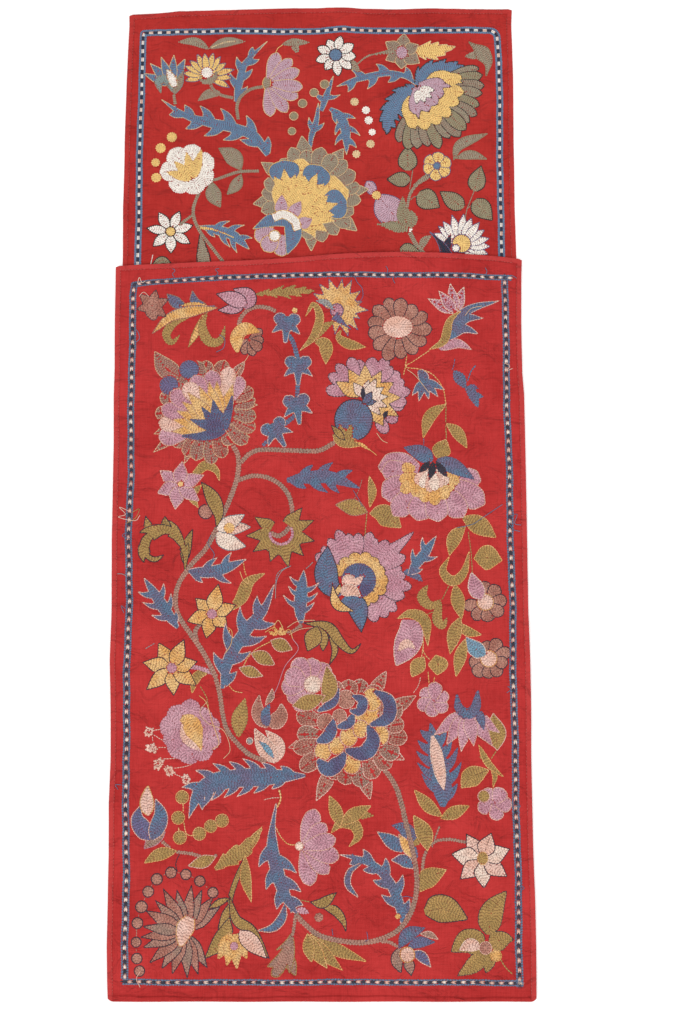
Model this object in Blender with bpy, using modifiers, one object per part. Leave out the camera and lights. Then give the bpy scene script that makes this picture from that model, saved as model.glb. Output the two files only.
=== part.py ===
"""A long embroidered red cotton panel, laid face up and folded over once, so that its reverse covers most of it.

Metres, +Z up. The fold lies along -Y and both free ends towards +Y. The origin is at the middle of the cloth's
footprint, on the surface that it lies on. The cloth is one sheet: the under layer runs from its far hem to the fold,
and the upper layer from the fold back to its own hem, a little above the under layer.
"""

import math

import bpy
import numpy as np

# The cloth as it lies, in metres.
STACK_LENGTH = 1.112  # from the fold's outer side to the furthest point of the under layer's hem
SHEET_THICKNESS = 0.0012
LAYER_GAP = 0.0008  # between the two layers
BEND_RADIUS = (SHEET_THICKNESS + LAYER_GAP) / 2  # of the sheet's middle surface, in the fold
BEND_Y = -STACK_LENGTH / 2 + BEND_RADIUS + SHEET_THICKNESS / 2
UNDER_Z = SHEET_THICKNESS / 2  # middle surface of the under layer
UPPER_Z = UNDER_Z + 2 * BEND_RADIUS  # middle surface of the upper layer

# How finely the sheet is divided.
CELLS_ACROSS = 16
SHOWN_UNDER_CELLS = 9
COVERED_UNDER_CELLS = 7
BEND_CELLS = 6
UPPER_CELLS = 30
SHOWN_UNDER_SHARE = 0.27  # of the under layer, which the upper layer leaves bare

# Side edges, which are hemmed by hand and wander. Columns: y, left x, right x.
UNDER_SIDES = np.array((
    (-0.556, -0.2243, 0.2295),
    (-0.300, -0.2238, 0.2265),
    (0.000, -0.2230, 0.2230),
    (0.268, -0.2222, 0.2192),
    (0.350, -0.2225, 0.2182),
    (0.465, -0.2210, 0.2185),
    (0.556, -0.2197, 0.2181),
))
UPPER_SIDES = np.array((
    (-0.556, -0.2243, 0.2295),
    (-0.500, -0.2262, 0.2300),
    (-0.400, -0.2259, 0.2284),
    (-0.300, -0.2256, 0.2276),
    (-0.193, -0.2285, 0.2281),
    (-0.060, -0.2287, 0.2267),
    (0.047, -0.2284, 0.2261),
    (0.128, -0.2288, 0.2239),
    (0.239, -0.2296, 0.2244),
    (0.266, -0.2300, 0.2257),
))

# Free ends, which are shallow arches. Columns: share of the width from the left, y.
UNDER_END = np.array((
    (0.00, 0.5474), (0.07, 0.5489), (0.13, 0.5513), (0.23, 0.5525), (0.35, 0.5541),
    (0.55, 0.5560), (0.67, 0.5538), (0.80, 0.5549), (1.00, 0.5536),
))
UPPER_END = np.array((
    (0.00, 0.2491), (0.06, 0.2508), (0.21, 0.2537), (0.31, 0.2554), (0.45, 0.2595),
    (0.53, 0.2629), (0.70, 0.2658), (0.87, 0.2630), (0.94, 0.2606), (1.00, 0.2572),
))

# Soft puckers, each a low ridge. Columns: middle x, middle y, half length, half width, height, turn in degrees.
UNDER_PUCKERS = np.array((
    (-0.165, 0.522, 0.045, 0.006, 0.0010, 84.0),
    (-0.030, 0.530, 0.035, 0.006, 0.0009, 92.0),
    (0.120, 0.524, 0.040, 0.007, 0.0010, 86.0),
    (-0.180, 0.420, 0.045, 0.008, 0.0012, 4.0),
    (-0.175, 0.345, 0.050, 0.008, 0.0010, -5.0),
    (0.150, 0.395, 0.060, 0.009, 0.0011, 8.0),
))
UPPER_PUCKERS = np.array((
    (-0.110, 0.108, 0.090, 0.010, 0.0026, -6.0),
    (0.020, 0.122, 0.060, 0.009, 0.0020, 7.0),
    (0.165, 0.135, 0.055, 0.009, 0.0024, 3.0),
    (0.035, 0.016, 0.065, 0.010, 0.0020, -4.0),
    (-0.060, -0.078, 0.100, 0.009, 0.0019, 3.0),
    (-0.165, -0.148, 0.050, 0.010, 0.0023, -5.0),
    (0.150, -0.215, 0.060, 0.009, 0.0017, 6.0),
    (-0.025, -0.336, 0.080, 0.010, 0.0016, -3.0),
    (-0.025, -0.527, 0.105, 0.007, 0.0020, 0.5),
    (0.160, -0.430, 0.050, 0.010, 0.0015, -8.0),
))

COTTON_RED = (0.50, 0.032, 0.037, 1.0)  # linear


def clear_scene():
    for thing in list(bpy.data.objects):
        bpy.data.objects.remove(thing, do_unlink=True)


def table(rows, at, column):
    """One column of a table, read between its rows."""
    return float(np.interp(at, rows[:, 0], rows[:, column]))


def pucker_height(puckers, x, y):
    """The height that a table's ridges add at a point: each is a bell across and along its own turned axes."""
    height = 0.0
    for middle_x, middle_y, half_length, half_width, crest, turn in puckers:
        cos, sin = math.cos(math.radians(turn)), math.sin(math.radians(turn))
        along = ((x - middle_x) * cos + (y - middle_y) * sin) / half_length
        across = ((y - middle_y) * cos - (x - middle_x) * sin) / half_width
        height += crest * math.exp(-(along**2) - across**2)
    return height


def layer_point(share, reach, sides, end, puckers, level):
    """A point of a flat layer: share runs across from the left edge, and reach from the bend to the free end."""
    y = BEND_Y + (table(end, share, 1) - BEND_Y) * reach
    left, right = table(sides, y, 1), table(sides, y, 2)
    x = left + (right - left) * share
    return x, y, level + pucker_height(puckers, x, y)


def bend_point(share, turn):
    """A point of the fold: turn runs from 0 at the under layer to 1 at the upper one, half way round a circle."""
    left, right = table(UPPER_SIDES, BEND_Y, 1), table(UPPER_SIDES, BEND_Y, 2)
    x = left + (right - left) * share
    y = BEND_Y - BEND_RADIUS * math.sin(math.pi * turn)
    return x, y, UNDER_Z + BEND_RADIUS * (1 - math.cos(math.pi * turn))


def section_rows():
    """The rows of the back-and-forth section, in order along the cloth: (kind, how far along that kind)."""
    bared = [("under", 1 - SHOWN_UNDER_SHARE * i / SHOWN_UNDER_CELLS) for i in range(SHOWN_UNDER_CELLS)]
    covered = [
        ("under", (1 - SHOWN_UNDER_SHARE) * (1 - i / COVERED_UNDER_CELLS)) for i in range(COVERED_UNDER_CELLS)
    ]
    bend = [("bend", i / BEND_CELLS) for i in range(BEND_CELLS)]
    upper = [("upper", i / UPPER_CELLS) for i in range(UPPER_CELLS + 1)]
    return bared + covered + bend + upper


def cloth_point(share, row):
    kind, reach = row
    if kind == "under":
        return layer_point(share, reach, UNDER_SIDES, UNDER_END, UNDER_PUCKERS, UNDER_Z)
    if kind == "bend":
        return bend_point(share, reach)
    return layer_point(share, reach, UPPER_SIDES, UPPER_END, UPPER_PUCKERS, UPPER_Z)


def cotton_material():
    material = bpy.data.materials.new("red_cotton")
    material.use_nodes = True
    shader = material.node_tree.nodes["Principled BSDF"]
    shader.inputs["Base Color"].default_value = COTTON_RED
    shader.inputs["Roughness"].default_value = 0.85
    shader.inputs["Metallic"].default_value = 0.0
    return material


def make_folded_cloth(collection):
    """A flat grid whose rows are laid along the folded section, given its thickness by Solidify."""
    rows = section_rows()
    cells_along = len(rows) - 1
    bpy.ops.mesh.primitive_grid_add(x_subdivisions=CELLS_ACROSS, y_subdivisions=cells_along, size=2.0)
    cloth = bpy.context.object
    cloth.name = cloth.data.name = "folded_cloth"
    for vertex in cloth.data.vertices:
        share = (vertex.co.x + 1) / 2
        row = rows[round((vertex.co.y + 1) / 2 * cells_along)]
        vertex.co = cloth_point(share, row)
    cloth.data.materials.append(cotton_material())
    cloth.data.shade_smooth()
    thickness = cloth.modifiers.new("thickness", "SOLIDIFY")
    thickness.thickness = SHEET_THICKNESS
    thickness.offset = 0.0
    for holder in list(cloth.users_collection):
        holder.objects.unlink(cloth)
    collection.objects.link(cloth)
    return cloth


clear_scene()
textile = bpy.data.collections.new("embroidered_panel")
bpy.context.scene.collection.children.link(textile)
make_folded_cloth(textile)
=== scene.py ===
import math
import bpy
import numpy as np
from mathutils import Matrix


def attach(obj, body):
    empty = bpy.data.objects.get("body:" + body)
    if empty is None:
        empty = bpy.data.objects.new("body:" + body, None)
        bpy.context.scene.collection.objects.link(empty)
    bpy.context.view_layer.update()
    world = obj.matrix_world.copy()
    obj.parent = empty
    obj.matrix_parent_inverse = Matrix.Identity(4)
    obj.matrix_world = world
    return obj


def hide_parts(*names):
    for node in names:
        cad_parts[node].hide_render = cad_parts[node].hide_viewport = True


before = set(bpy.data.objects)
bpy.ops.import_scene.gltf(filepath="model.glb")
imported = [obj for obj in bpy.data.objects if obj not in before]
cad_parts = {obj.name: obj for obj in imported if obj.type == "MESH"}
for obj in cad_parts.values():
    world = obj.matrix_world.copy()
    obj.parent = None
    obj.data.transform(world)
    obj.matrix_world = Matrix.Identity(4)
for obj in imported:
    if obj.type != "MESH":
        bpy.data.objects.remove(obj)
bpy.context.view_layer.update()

# A long red cotton panel worked in floss silk, folded over once: the under layer shows its face at the far
# end, and the upper layer shows its reverse. The design is drawn in millimetres on the cloth as it lies, with
# x across, y along it towards the free ends, and headings in degrees clockwise from +y.

mm = 0.001
draw = np.random.default_rng(11)

cloth = {
    "thickness": 0.75,    # of plain cotton with its stitches' backs
    "hemWidth": 5.4,      # from the edge to the hem's stitches
    "hemRise": 0.75,      # how much a turned hem adds
    "cell": 4.5,          # of the mesh, across and along
    "coveredCell": 26.0,  # where the under layer is out of sight
    "bendCells": 10,
    "underZ": 0.6,        # middle of the under layer
    "upperZ": 2.75,       # middle of the upper layer
    "bendY": -554.0,
    "coveredFrom": 238.0,  # the under layer is out of sight below this
    "coveredTo": 255.0,    # and lies flat up to this
    "underRows": 553.0,    # where the rows of the mesh start, by the under layer's free end
    "upperRows": 260.0,
    "width": 450.0,        # about, for the columns of the mesh
}

# hand-hemmed side edges. Columns: y, left x, right x
underSides = np.array([
    (-556, -224.3, 229.5), (-300, -223.8, 226.5), (0, -223.0, 223.0), (268, -222.2, 219.2),
    (318, -222.9, 218.2), (350, -222.3, 218.3), (405, -222.2, 218.1), (465, -221.2, 218.6),
    (505, -220.2, 218.0), (534, -219.2, 217.3), (556, -219.8, 218.3)])
upperSides = np.array([
    (-556, -224.3, 229.4), (-500, -226.2, 229.9), (-450, -226.0, 229.5), (-400, -225.9, 228.3),
    (-348, -226.7, 227.9), (-300, -225.6, 227.6), (-245, -226.6, 228.3), (-193, -228.5, 228.1),
    (-140, -227.4, 226.8), (-60, -228.6, 226.6), (-8, -228.5, 226.4), (47, -228.4, 226.1),
    (100, -229.3, 225.7), (128, -228.8, 223.9), (183, -229.6, 223.6), (239, -229.5, 224.5),
    (266, -229.9, 225.7)])

# free ends. Columns: share of the width from the left, y
underEnd = np.array([
    (0, 547.2), (0.07, 548.9), (0.13, 551.3), (0.23, 552.5), (0.29, 553.5), (0.42, 554.9), (0.50, 555.4),
    (0.545, 556.2), (0.58, 555.8), (0.61, 554.6), (0.67, 553.7), (0.80, 554.9), (0.9, 554.0), (1, 553.9)])
upperEnd = np.array([
    (0, 249.1), (0.06, 250.8), (0.21, 253.7), (0.31, 255.4), (0.45, 259.5), (0.53, 262.9),
    (0.62, 264.9), (0.70, 265.8), (0.79, 264.9), (0.87, 263.0), (0.94, 260.6), (1, 257.2)])

# soft puckers. Columns: x, y, half length, half width, height, turn in degrees
underPuckers = np.array([
    (-165, 522, 45, 6, 1.0, 84), (-30, 530, 35, 6, 0.9, 92), (120, 524, 40, 7, 1.0, 86),
    (25, 536, 14, 7, 1.0, 90), (-120, 530, 22, 5, 0.6, 80), (70, 534, 24, 5, 0.6, 95),
    (-180, 420, 45, 8, 1.2, 4), (-175, 345, 50, 8, 1.0, -5), (150, 395, 60, 9, 1.1, 8)])
upperPuckers = np.array([
    (-110, 108, 90, 10, 2.6, -6), (20, 122, 60, 9, 2.0, 7), (165, 135, 55, 9, 2.4, 3),
    (35, 16, 65, 10, 2.0, -4), (-60, -78, 100, 9, 1.9, 3), (-165, -148, 50, 10, 2.3, -5),
    (150, -215, 60, 9, 1.7, 6), (-25, -336, 80, 10, 1.6, -3), (-25, -527, 105, 6, 1.9, 0.5),
    (160, -430, 50, 10, 1.5, -8)])


def puckerHeight(table, x, y):
    # each pucker is a bell: height times e to the minus (along / half length)^2 + (across / half width)^2
    total = np.zeros_like(x)
    for px, py, halfLength, halfWidth, crest, turn in table:
        c, s = math.cos(math.radians(turn)), math.sin(math.radians(turn))
        along = ((x - px) * c + (y - py) * s) / halfLength
        across = ((y - py) * c - (x - px) * s) / halfWidth
        total += crest * np.exp(-along**2 - across**2)
    return total


def makeWaves(count, longest, shortest, tilt, seed):
    # the fine unevenness of hand-worked cloth: sines of many lengths, the short ones lower
    r = np.random.default_rng(seed)
    length = longest * (shortest / longest) ** r.random(count)
    heading = np.radians(90 + r.normal(0, tilt, count))  # mostly runs across the cloth
    return np.stack([2 * np.pi / length * np.cos(heading), 2 * np.pi / length * np.sin(heading),
                     r.random(count) * 2 * np.pi, (length / longest) ** 0.9], 1)


def waveHeight(waves, x, y):
    # sum of height times sin(kx x + ky y + phase)
    total = np.zeros_like(x)
    for kx, ky, phase, crest in waves:
        total += crest * np.sin(kx * x + ky * y + phase)
    return total / math.sqrt(len(waves))


upperWaves = makeWaves(26, 75, 14, 28, 3)
underWaves = makeWaves(18, 60, 16, 50, 5)
patchWaves = makeWaves(8, 260, 110, 60, 9)  # where the puckering is strong or faint


def sideX(table, y):
    # the left and the right edge at that y, read between the table's rows
    return np.interp(y, table[:, 0], table[:, 1]), np.interp(y, table[:, 0], table[:, 2])


def edgeDistance(layer, x, y):
    # how far in from the nearest hemmed edge, and from the free end, in mm
    sides, end = (upperSides, upperEnd) if layer == "reverse" else (underSides, underEnd)
    left, right = sideX(sides, y)
    share = (x - left) / (right - left)
    fromEnd = np.interp(share, end[:, 0], end[:, 1]) - y
    return np.minimum(x - left, right - x), fromEnd


def hemHeight(layer, x, y):
    # a turned hem stands up from the edge to its stitches, which pull it down in a narrow crease
    side, end = edgeDistance(layer, x, y)
    near = np.minimum(side, end)
    w = cloth["hemWidth"]
    raised = 1 / (1 + np.exp((near - w) / 0.35))
    crease = np.exp(-((near - w) / 0.7) ** 2)
    swell = 0.75 + 0.25 * np.sin(x * 0.21 + np.sin(x * 0.043) * 2) * np.cos(y * 0.17)
    return cloth["hemRise"] * raised * swell - 0.35 * crease


def foldCrease(x, y):
    # a soft crease that wanders 3 to 5 mm in from the fold
    line = -550.6 + 0.9 * np.sin(x * 0.024 + 0.6) + 0.4 * np.sin(x * 0.11)
    return np.exp(-((y - line) / 0.9) ** 2)


def layerHeight(layer, x, y):
    # middle of the layer above the surface it lies on, in mm
    x, y = np.asarray(x, float), np.asarray(y, float)
    if layer == "reverse":
        strength = 0.6 * (1 + 0.7 * waveHeight(patchWaves, x, y))
        nearFold = np.clip((y + 552) / 22, 0, 1)
        waves = np.maximum(strength * waveHeight(upperWaves, x, y) + 0.35, 0.0)
        return cloth["upperZ"] + hemHeight(layer, x, y) - 0.45 * foldCrease(x, y) + nearFold * (
            waves + 1.3 * puckerHeight(upperPuckers, x, y))
    bare = np.clip((y - cloth["coveredTo"]) / 25, 0, 1)
    waves = np.maximum(0.45 * waveHeight(underWaves, x, y) + 0.2, 0.0)
    return cloth["underZ"] + np.maximum(hemHeight(layer, x, y), 0) * bare + bare * (
        waves + puckerHeight(underPuckers, x, y))


def linear(code):
    # sRGB hex to linear: c / 12.92 below 0.04045, else ((c + 0.055) / 1.055)^2.4
    c = np.array([int(code[i:i + 2], 16) for i in (0, 2, 4)]) / 255
    c = np.where(c <= 0.04045, c / 12.92, ((c + 0.055) / 1.055) ** 2.4)
    return (*c.tolist(), 1.0)


def addNode(tree, kind, output, inputs=None, stops=None, **settings):
    # one node with its settings, its inputs as {input: (node, output) or value}, and its colour ramp's stops
    # as {place: hex colour or grey}. What it gives is (node, output), which the next node's input takes
    node = tree.nodes.new("ShaderNode" + kind)
    for key, value in settings.items():
        setattr(node, key, value)
    for key, value in (inputs or {}).items():
        if isinstance(value, tuple) and hasattr(value[0], "outputs"):
            tree.links.new(value[0].outputs[value[1]], node.inputs[key])
        else:
            node.inputs[key].default_value = value
    for i, (place, tone) in enumerate((stops or {}).items()):
        element = node.color_ramp.elements[i]
        element.color = linear(tone) if isinstance(tone, str) else (tone, tone, tone, 1.0)
        element.position = place
    return node, output


def newMaterial(name, shine):
    # a material, its tree, and its shader with the given values
    material = bpy.data.materials.new(name)
    material.use_nodes = True
    shader = material.node_tree.nodes["Principled BSDF"]
    for key, value in shine.items():
        shader.inputs[key].default_value = value
    return material, material.node_tree, shader


def finishMaterial(tree, shader, colour, normal):
    # the shader takes its colour and its relief from those nodes
    for key, (node, output) in (("Base Color", colour), ("Normal", normal)):
        tree.links.new(node.outputs[output], shader.inputs[key])


def cottonMaterial(settings):
    # hand-woven cotton dyed a madder-like red: matt, with slubs along both threads and worn, paler high spots
    material, tree, shader = newMaterial("hand-woven red cotton", {
        "Roughness": 0.9, "Specular IOR Level": 0.12, "Sheen Weight": 0.03, "Sheen Roughness": 0.5})
    place = addNode(tree, "TexCoord", "Object")
    # slubs: noise stretched along the weft and along the warp
    slubs = {}
    for i, stretch in enumerate(((60, 900, 60), (900, 50, 60))):
        along = addNode(tree, "Mapping", "Vector", {"Vector": place, "Scale": stretch})
        slubs[i] = addNode(tree, "TexNoise", "Fac", {"Vector": along, "Scale": 1.0, "Detail": 3.0})
    slub = addNode(tree, "Math", 0, slubs, operation="ADD")
    clouds = addNode(tree, "TexNoise", "Fac", {"Vector": place, "Scale": 14.0, "Detail": 5.0,
                                               "Roughness": 0.6})
    worn = addNode(tree, "Math", 0, {0: slub, 1: 0.5, 2: clouds}, operation="MULTIPLY_ADD")
    spread = addNode(tree, "MapRange", 0, {"Value": worn, "From Min": 0.72, "From Max": 1.28})
    colour = addNode(tree, "ValToRGB", 0, {"Fac": spread}, {0.0: settings["dark"], 1.0: settings["light"]})
    # the face is a little duller than the reverse; along the hem's line of stitches and along the fold the
    # colour is darkened, a painted shade in the creases
    for name, near, far in (("upperLayer", settings["faceTint"], settings["reverseTint"]),
                            ("crease", 1.0, settings["creaseShadeTint"])):
        share = addNode(tree, "Attribute", "Fac", attribute_name=name)
        tint = addNode(tree, "ValToRGB", 0, {"Fac": share}, {0.0: near, 1.0: far})
        colour = addNode(tree, "Mix", 2, {0: 1.0, 6: colour, 7: tint}, data_type="RGBA",
                         blend_type="MULTIPLY")
    # a turned hem is three layers thick and stands up from the cloth; it is painted a little paler, a painted
    # highlight where it catches the light
    hem = addNode(tree, "Attribute", "Fac", attribute_name="hem")
    paintedHighlight = addNode(tree, "Math", 0, {0: hem, 1: 0.5}, operation="MULTIPLY")
    colour = addNode(tree, "Mix", 2, {0: paintedHighlight, 6: colour, 7: linear(settings["hem"])}, data_type="RGBA",
                     blend_type="MIX")
    # plain weave, drawn at 1.1 mm where the real threads are about 0.5 mm apart: sin kx times sin ky
    axes = addNode(tree, "SeparateXYZ", 0, {0: place})[0]
    k = 2 * math.pi / settings["weave"]
    waves = {}
    for i in (0, 1):
        turn = addNode(tree, "Math", 0, {0: (axes, i), 1: k}, operation="MULTIPLY")
        waves[i] = addNode(tree, "Math", 0, {0: turn}, operation="SINE")
    weave = addNode(tree, "Math", 0, waves, operation="MULTIPLY")
    relief = addNode(tree, "Math", 0, {0: slub, 1: 2.2, 2: weave}, operation="MULTIPLY_ADD")
    # small puckers that the stitches pull up, 5 to 20 mm long across the cloth
    across = addNode(tree, "Mapping", "Vector", {"Vector": place, "Scale": (34, 44, 30)})
    pucker = addNode(tree, "TexNoise", "Fac", {"Vector": across, "Scale": 1.0, "Detail": 3.0,
                                               "Roughness": 0.5, "Distortion": 0.8})
    puckered = addNode(tree, "Bump", 0, {"Height": pucker, "Strength": 0.8, "Distance": settings["pucker"]})
    woven = addNode(tree, "Bump", 0, {"Height": relief, "Strength": 0.22, "Distance": 0.0002,
                                      "Normal": puckered})
    finishMaterial(tree, shader, colour, woven)
    return material


def silkMaterial(name, code, second, settings):
    # floss silk worked in chain stitch: soft sheen along the thread, each stitch a little lighter or darker,
    # and the dye uneven over patches of a centimetre or two
    material, tree, shader = newMaterial(f"floss silk {name}", {
        "Roughness": settings["roughness"], "Sheen Weight": 0.08, "Specular IOR Level": 0.3})
    place = addNode(tree, "TexCoord", "Object")
    fibre = addNode(tree, "TexNoise", "Fac", {"Vector": place, "Scale": 1600.0, "Detail": 2.0})
    stitch = addNode(tree, "Attribute", "Fac", attribute_name="shade")
    shade = addNode(tree, "Math", 0, {0: fibre, 1: 0.35, 2: stitch}, operation="MULTIPLY_ADD")
    light = addNode(tree, "ValToRGB", 0, {"Fac": shade}, {0.15: settings["dark"], 1.0: settings["light"]})
    patches = addNode(tree, "TexNoise", "Fac", {"Vector": place, "Scale": settings["patch"], "Detail": 3.0,
                                                "Roughness": 0.6})
    dye = addNode(tree, "ValToRGB", 0, {"Fac": patches}, {0.4: code, 0.6: second})
    colour = addNode(tree, "Mix", 2, {0: 1.0, 6: dye, 7: light}, data_type="RGBA", blend_type="MULTIPLY")
    fibres = addNode(tree, "Bump", 0, {"Height": fibre, "Strength": 0.3, "Distance": 0.0001})
    finishMaterial(tree, shader, colour, fibres)
    return material


def makeMesh(name, points, faces, material, values):
    # points in mm, faces as rows of 3 or 4 corners, values as {attribute: one number a point}
    mesh = bpy.data.meshes.new(name)
    points = np.asarray(points, np.float32) * mm
    loops = np.concatenate([f.ravel() for f in faces]).astype(np.int32)
    sizes = np.concatenate([np.full(len(f), f.shape[1]) for f in faces]).astype(np.int32)
    mesh.vertices.add(len(points))
    mesh.vertices.foreach_set("co", points.ravel())
    mesh.loops.add(len(loops))
    mesh.loops.foreach_set("vertex_index", loops)
    mesh.polygons.add(len(sizes))
    mesh.polygons.foreach_set("loop_start", np.concatenate([[0], np.cumsum(sizes)[:-1]]).astype(np.int32))
    mesh.polygons.foreach_set("loop_total", sizes)
    mesh.update(calc_edges=True)
    mesh.polygons.foreach_set("use_smooth", np.full(len(sizes), True))
    for key, numbers in values.items():
        layer = mesh.attributes.new(key, "FLOAT", "POINT")
        layer.data.foreach_set("value", np.asarray(numbers, np.float32))
    mesh.materials.append(material)
    piece = bpy.data.objects.new(name, mesh)
    bpy.context.scene.collection.objects.link(piece)
    return piece


def gridFaces(rows, columns):
    # quads between neighbouring rows and columns of a grid
    i = np.arange(rows * columns).reshape(rows, columns)
    return np.stack([i[:-1, :-1], i[:-1, 1:], i[1:, 1:], i[1:, :-1]], -1).reshape(-1, 4)


def edgeSteps(width, cell, fine=(0, 0.5, 1.4, 2.8, 4.1, 4.9, 5.4, 5.9, 6.9, 9.0)):
    # distances from an edge: close together over the hem, then about a cell apart
    middle = np.linspace(fine[-1], width - fine[-1], max(2, round((width - 2 * fine[-1]) / cell)) + 1)
    return np.concatenate([fine[:-1], middle, width - np.array(fine[:-1])[::-1]])


def creaseShadeShare(layer, block):
    # 1 on the hem's line of stitches, falling off to either side like a bell, and the same by the fold: where
    # the cotton gets its painted shade
    x, y = block[..., 0], block[..., 1]
    side, end = edgeDistance(layer, x, y)
    share = 0.6 * np.exp(-((np.minimum(side, end) - cloth["hemWidth"]) / 0.75) ** 2)
    return np.maximum(share, foldCrease(x, y)) if layer == "reverse" else share


def hemHighlightShare(layer, block):
    # 1 on the upper layer between the edge and the hem's stitches, and half of that on the under layer: where
    # the hem gets its painted highlight
    side, end = edgeDistance(layer, block[..., 0], block[..., 1])
    inside = np.minimum(side, end) < cloth["hemWidth"] - 0.2
    return inside * (1.0 if layer == "reverse" else 0.5)


def clothSection():
    # the rows of the back-and-forth section: y on the under layer, share of the bend's turn, y on the upper
    c = cloth
    shown = c["underRows"] - edgeSteps(2 * (c["underRows"] - c["coveredFrom"]), c["cell"])
    shown = shown[shown > c["coveredFrom"]]
    count = round((c["coveredFrom"] - c["bendY"]) / c["coveredCell"])
    hidden = np.linspace(c["coveredFrom"], c["bendY"], count)
    upper = c["upperRows"] - edgeSteps(2 * (c["upperRows"] - c["bendY"]), c["cell"])
    upper = np.concatenate([c["bendY"] + np.array([0, 1.0, 2.0, 2.8, 3.6, 4.4, 5.4, 6.8, 8.6]),
                            upper[upper > c["bendY"] + 10][::-1]])
    return np.concatenate([shown, hidden[:-1]]), np.linspace(0, 1, c["bendCells"] + 1)[1:-1], upper


def foldCorner(share, y):
    # the fold's two corners are drawn in a little: (1 - distance / 6)^2 of 3.4 mm, fading 14 mm up the cloth
    side = np.clip(1 - np.minimum(share, 1 - share) * cloth["width"] / 6, 0, 1)
    return 3.4 * side**2 * np.clip(1 - (y + 556) / 14, 0, 1)


def makeCloth(material):
    c = cloth
    under, turns, upper = clothSection()
    across = edgeSteps(c["width"], c["cell"]) / c["width"]
    radius = (c["upperZ"] - c["underZ"]) / 2
    blocks = []
    for layer, rows, sides, end, nominal in (("face", under, underSides, underEnd, c["underRows"]),
                                             ("reverse", upper, upperSides, upperEnd, c["upperRows"])):
        share, row = np.meshgrid(across, rows)
        # the rows lean to the arched free end, and are straight by the bend
        offset = np.interp(share, end[:, 0], end[:, 1]) - nominal
        y = row + offset * np.clip((row - c["bendY"]) / (nominal - c["bendY"]), 0, 1) ** 3
        left, right = sideX(sides, y)
        x = left + (right - left) * share
        corner = np.minimum(np.minimum(share, 1 - share) * c["width"], 4.0)
        near = np.maximum(nominal - row, 0)
        y = y - np.where((corner < 4) & (near < 4), (4 - corner) * 0.35 * (1 - near / 4), 0)
        y = y + foldCorner(share, y)
        blocks.append(np.stack([x, y, layerHeight(layer, x, y)], -1))
    left, right = sideX(upperSides, np.full(len(across), c["bendY"]))
    bendX = left + (right - left) * across
    low, high = blocks[0][-1, :, 2], blocks[1][0, :, 2]
    turn = turns[:, None]
    middle = (low + high) / 2 - (high - low) / 2 * np.cos(np.pi * turn)
    bulge = radius * 1.35 * np.sin(np.pi * turn) * (1 + 0.1 * np.sin(bendX * 0.06))
    bendY = c["bendY"] - bulge
    bendY = bendY + foldCorner(np.broadcast_to(across, middle.shape), bendY)
    bend = np.stack([np.broadcast_to(bendX, middle.shape), bendY, middle], -1)
    surface = np.concatenate([blocks[0], bend, blocks[1]])
    rows, columns = surface.shape[:2]
    # the way out of the surface, from its two tangents
    normal = np.cross(np.gradient(surface, axis=1), np.gradient(surface, axis=0))
    normal /= -np.linalg.norm(normal, axis=2, keepdims=True)
    if normal[5, 50, 2] < 0:
        normal = -normal
    # the under layer's outer side is its underside, which stays on the surface it lies on
    rim = np.minimum(np.minimum(across, 1 - across) * c["width"], 1.2) / 1.2
    endRim = np.minimum(np.minimum(np.arange(rows), rows - 1 - np.arange(rows)) * 0.5, 1.0)
    half = c["thickness"] / 2 * (0.45 + 0.55 * np.minimum(rim[None, :], endRim[:, None]))[..., None]
    face = surface + normal * half
    back = surface - normal * half
    isUnder = np.arange(rows) < len(blocks[0])
    back[isUnder, :, 2] = np.minimum(back[isUnder, :, 2], 0.02 + np.maximum(surface[isUnder, :, 2] - 1.2, 0))
    points = np.concatenate([face.reshape(-1, 3), back.reshape(-1, 3)])
    n = rows * columns
    i = np.arange(n).reshape(rows, columns)
    loop = np.concatenate([i[0, :-1], i[:-1, -1], i[-1, :0:-1], i[:0:-1, 0]])
    after = np.roll(loop, -1)
    top = gridFaces(rows, columns)
    faces = [top[:, ::-1], top + n, np.stack([loop, after, after + n, loop + n], 1)]
    layer = np.repeat(np.concatenate([np.zeros(len(blocks[0])), np.linspace(0, 1, len(turns)),
                                      np.ones(len(blocks[1]))]), columns)
    # where the creases get their painted shade, and where the hems get their painted highlight
    crease, hem = (np.concatenate([f("face", blocks[0]), np.zeros(bend.shape[:2]), f("reverse", blocks[1])])
                   for f in (creaseShadeShare, hemHighlightShare))
    piece = makeMesh("foldedCloth", points, faces, material,
                     {"upperLayer": np.tile(layer, 2), "crease": np.tile(crease.ravel(), 2),
                      "hem": np.tile(hem.ravel(), 2)})
    print("cloth", rows, columns, "triangles", 2 * len(top) * 2)
    return piece


# one dyed thread each: its colour as it looks on the face and on the reverse
# Columns: on the face, on the reverse, and the reverse's second tone where the dye took unevenly
threads = {
    "blue": ("617B98", "5D7490", "6B6581"), "navy": ("26293E", "5A5274", "5C6888"),
    "sky": ("6F93AE", "7099AE", "7F93A6"), "gold": ("E8C177", "DCA35C", "E3B87C"),
    "white": ("EFE6DC", "ECD6C6", "E6C4B2"), "cream": ("DEC294", "DBB490", "CFA783"),
    "peach": ("E8CAB8", "E0AF9B", "E6BFB0"), "mauve": ("BF9CA9", "BD8492", "CB99A4"),
    "purple": ("6E6A8C", "6C6084", "65698A"), "taupe": ("978974", "AD7E6E", "9D7D6E"),
    "olive": ("92876B", "A28149", "AF8A50"), "brown": ("94826F", "A66C5C", "B68170"),
    "black": ("2A2624", "2C2834", "3A3242"), "teal": ("84928E", "85929A", "9A9490"),
    "rose": ("CC5F58", "CE615A", "CE615A"), "steel": ("58738F", "667690", "5C6883"),
}
(blue, navy, sky, gold, white, cream, peach, mauve,
 purple, taupe, olive, brown, black, teal, rose, steel) = threads

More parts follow.
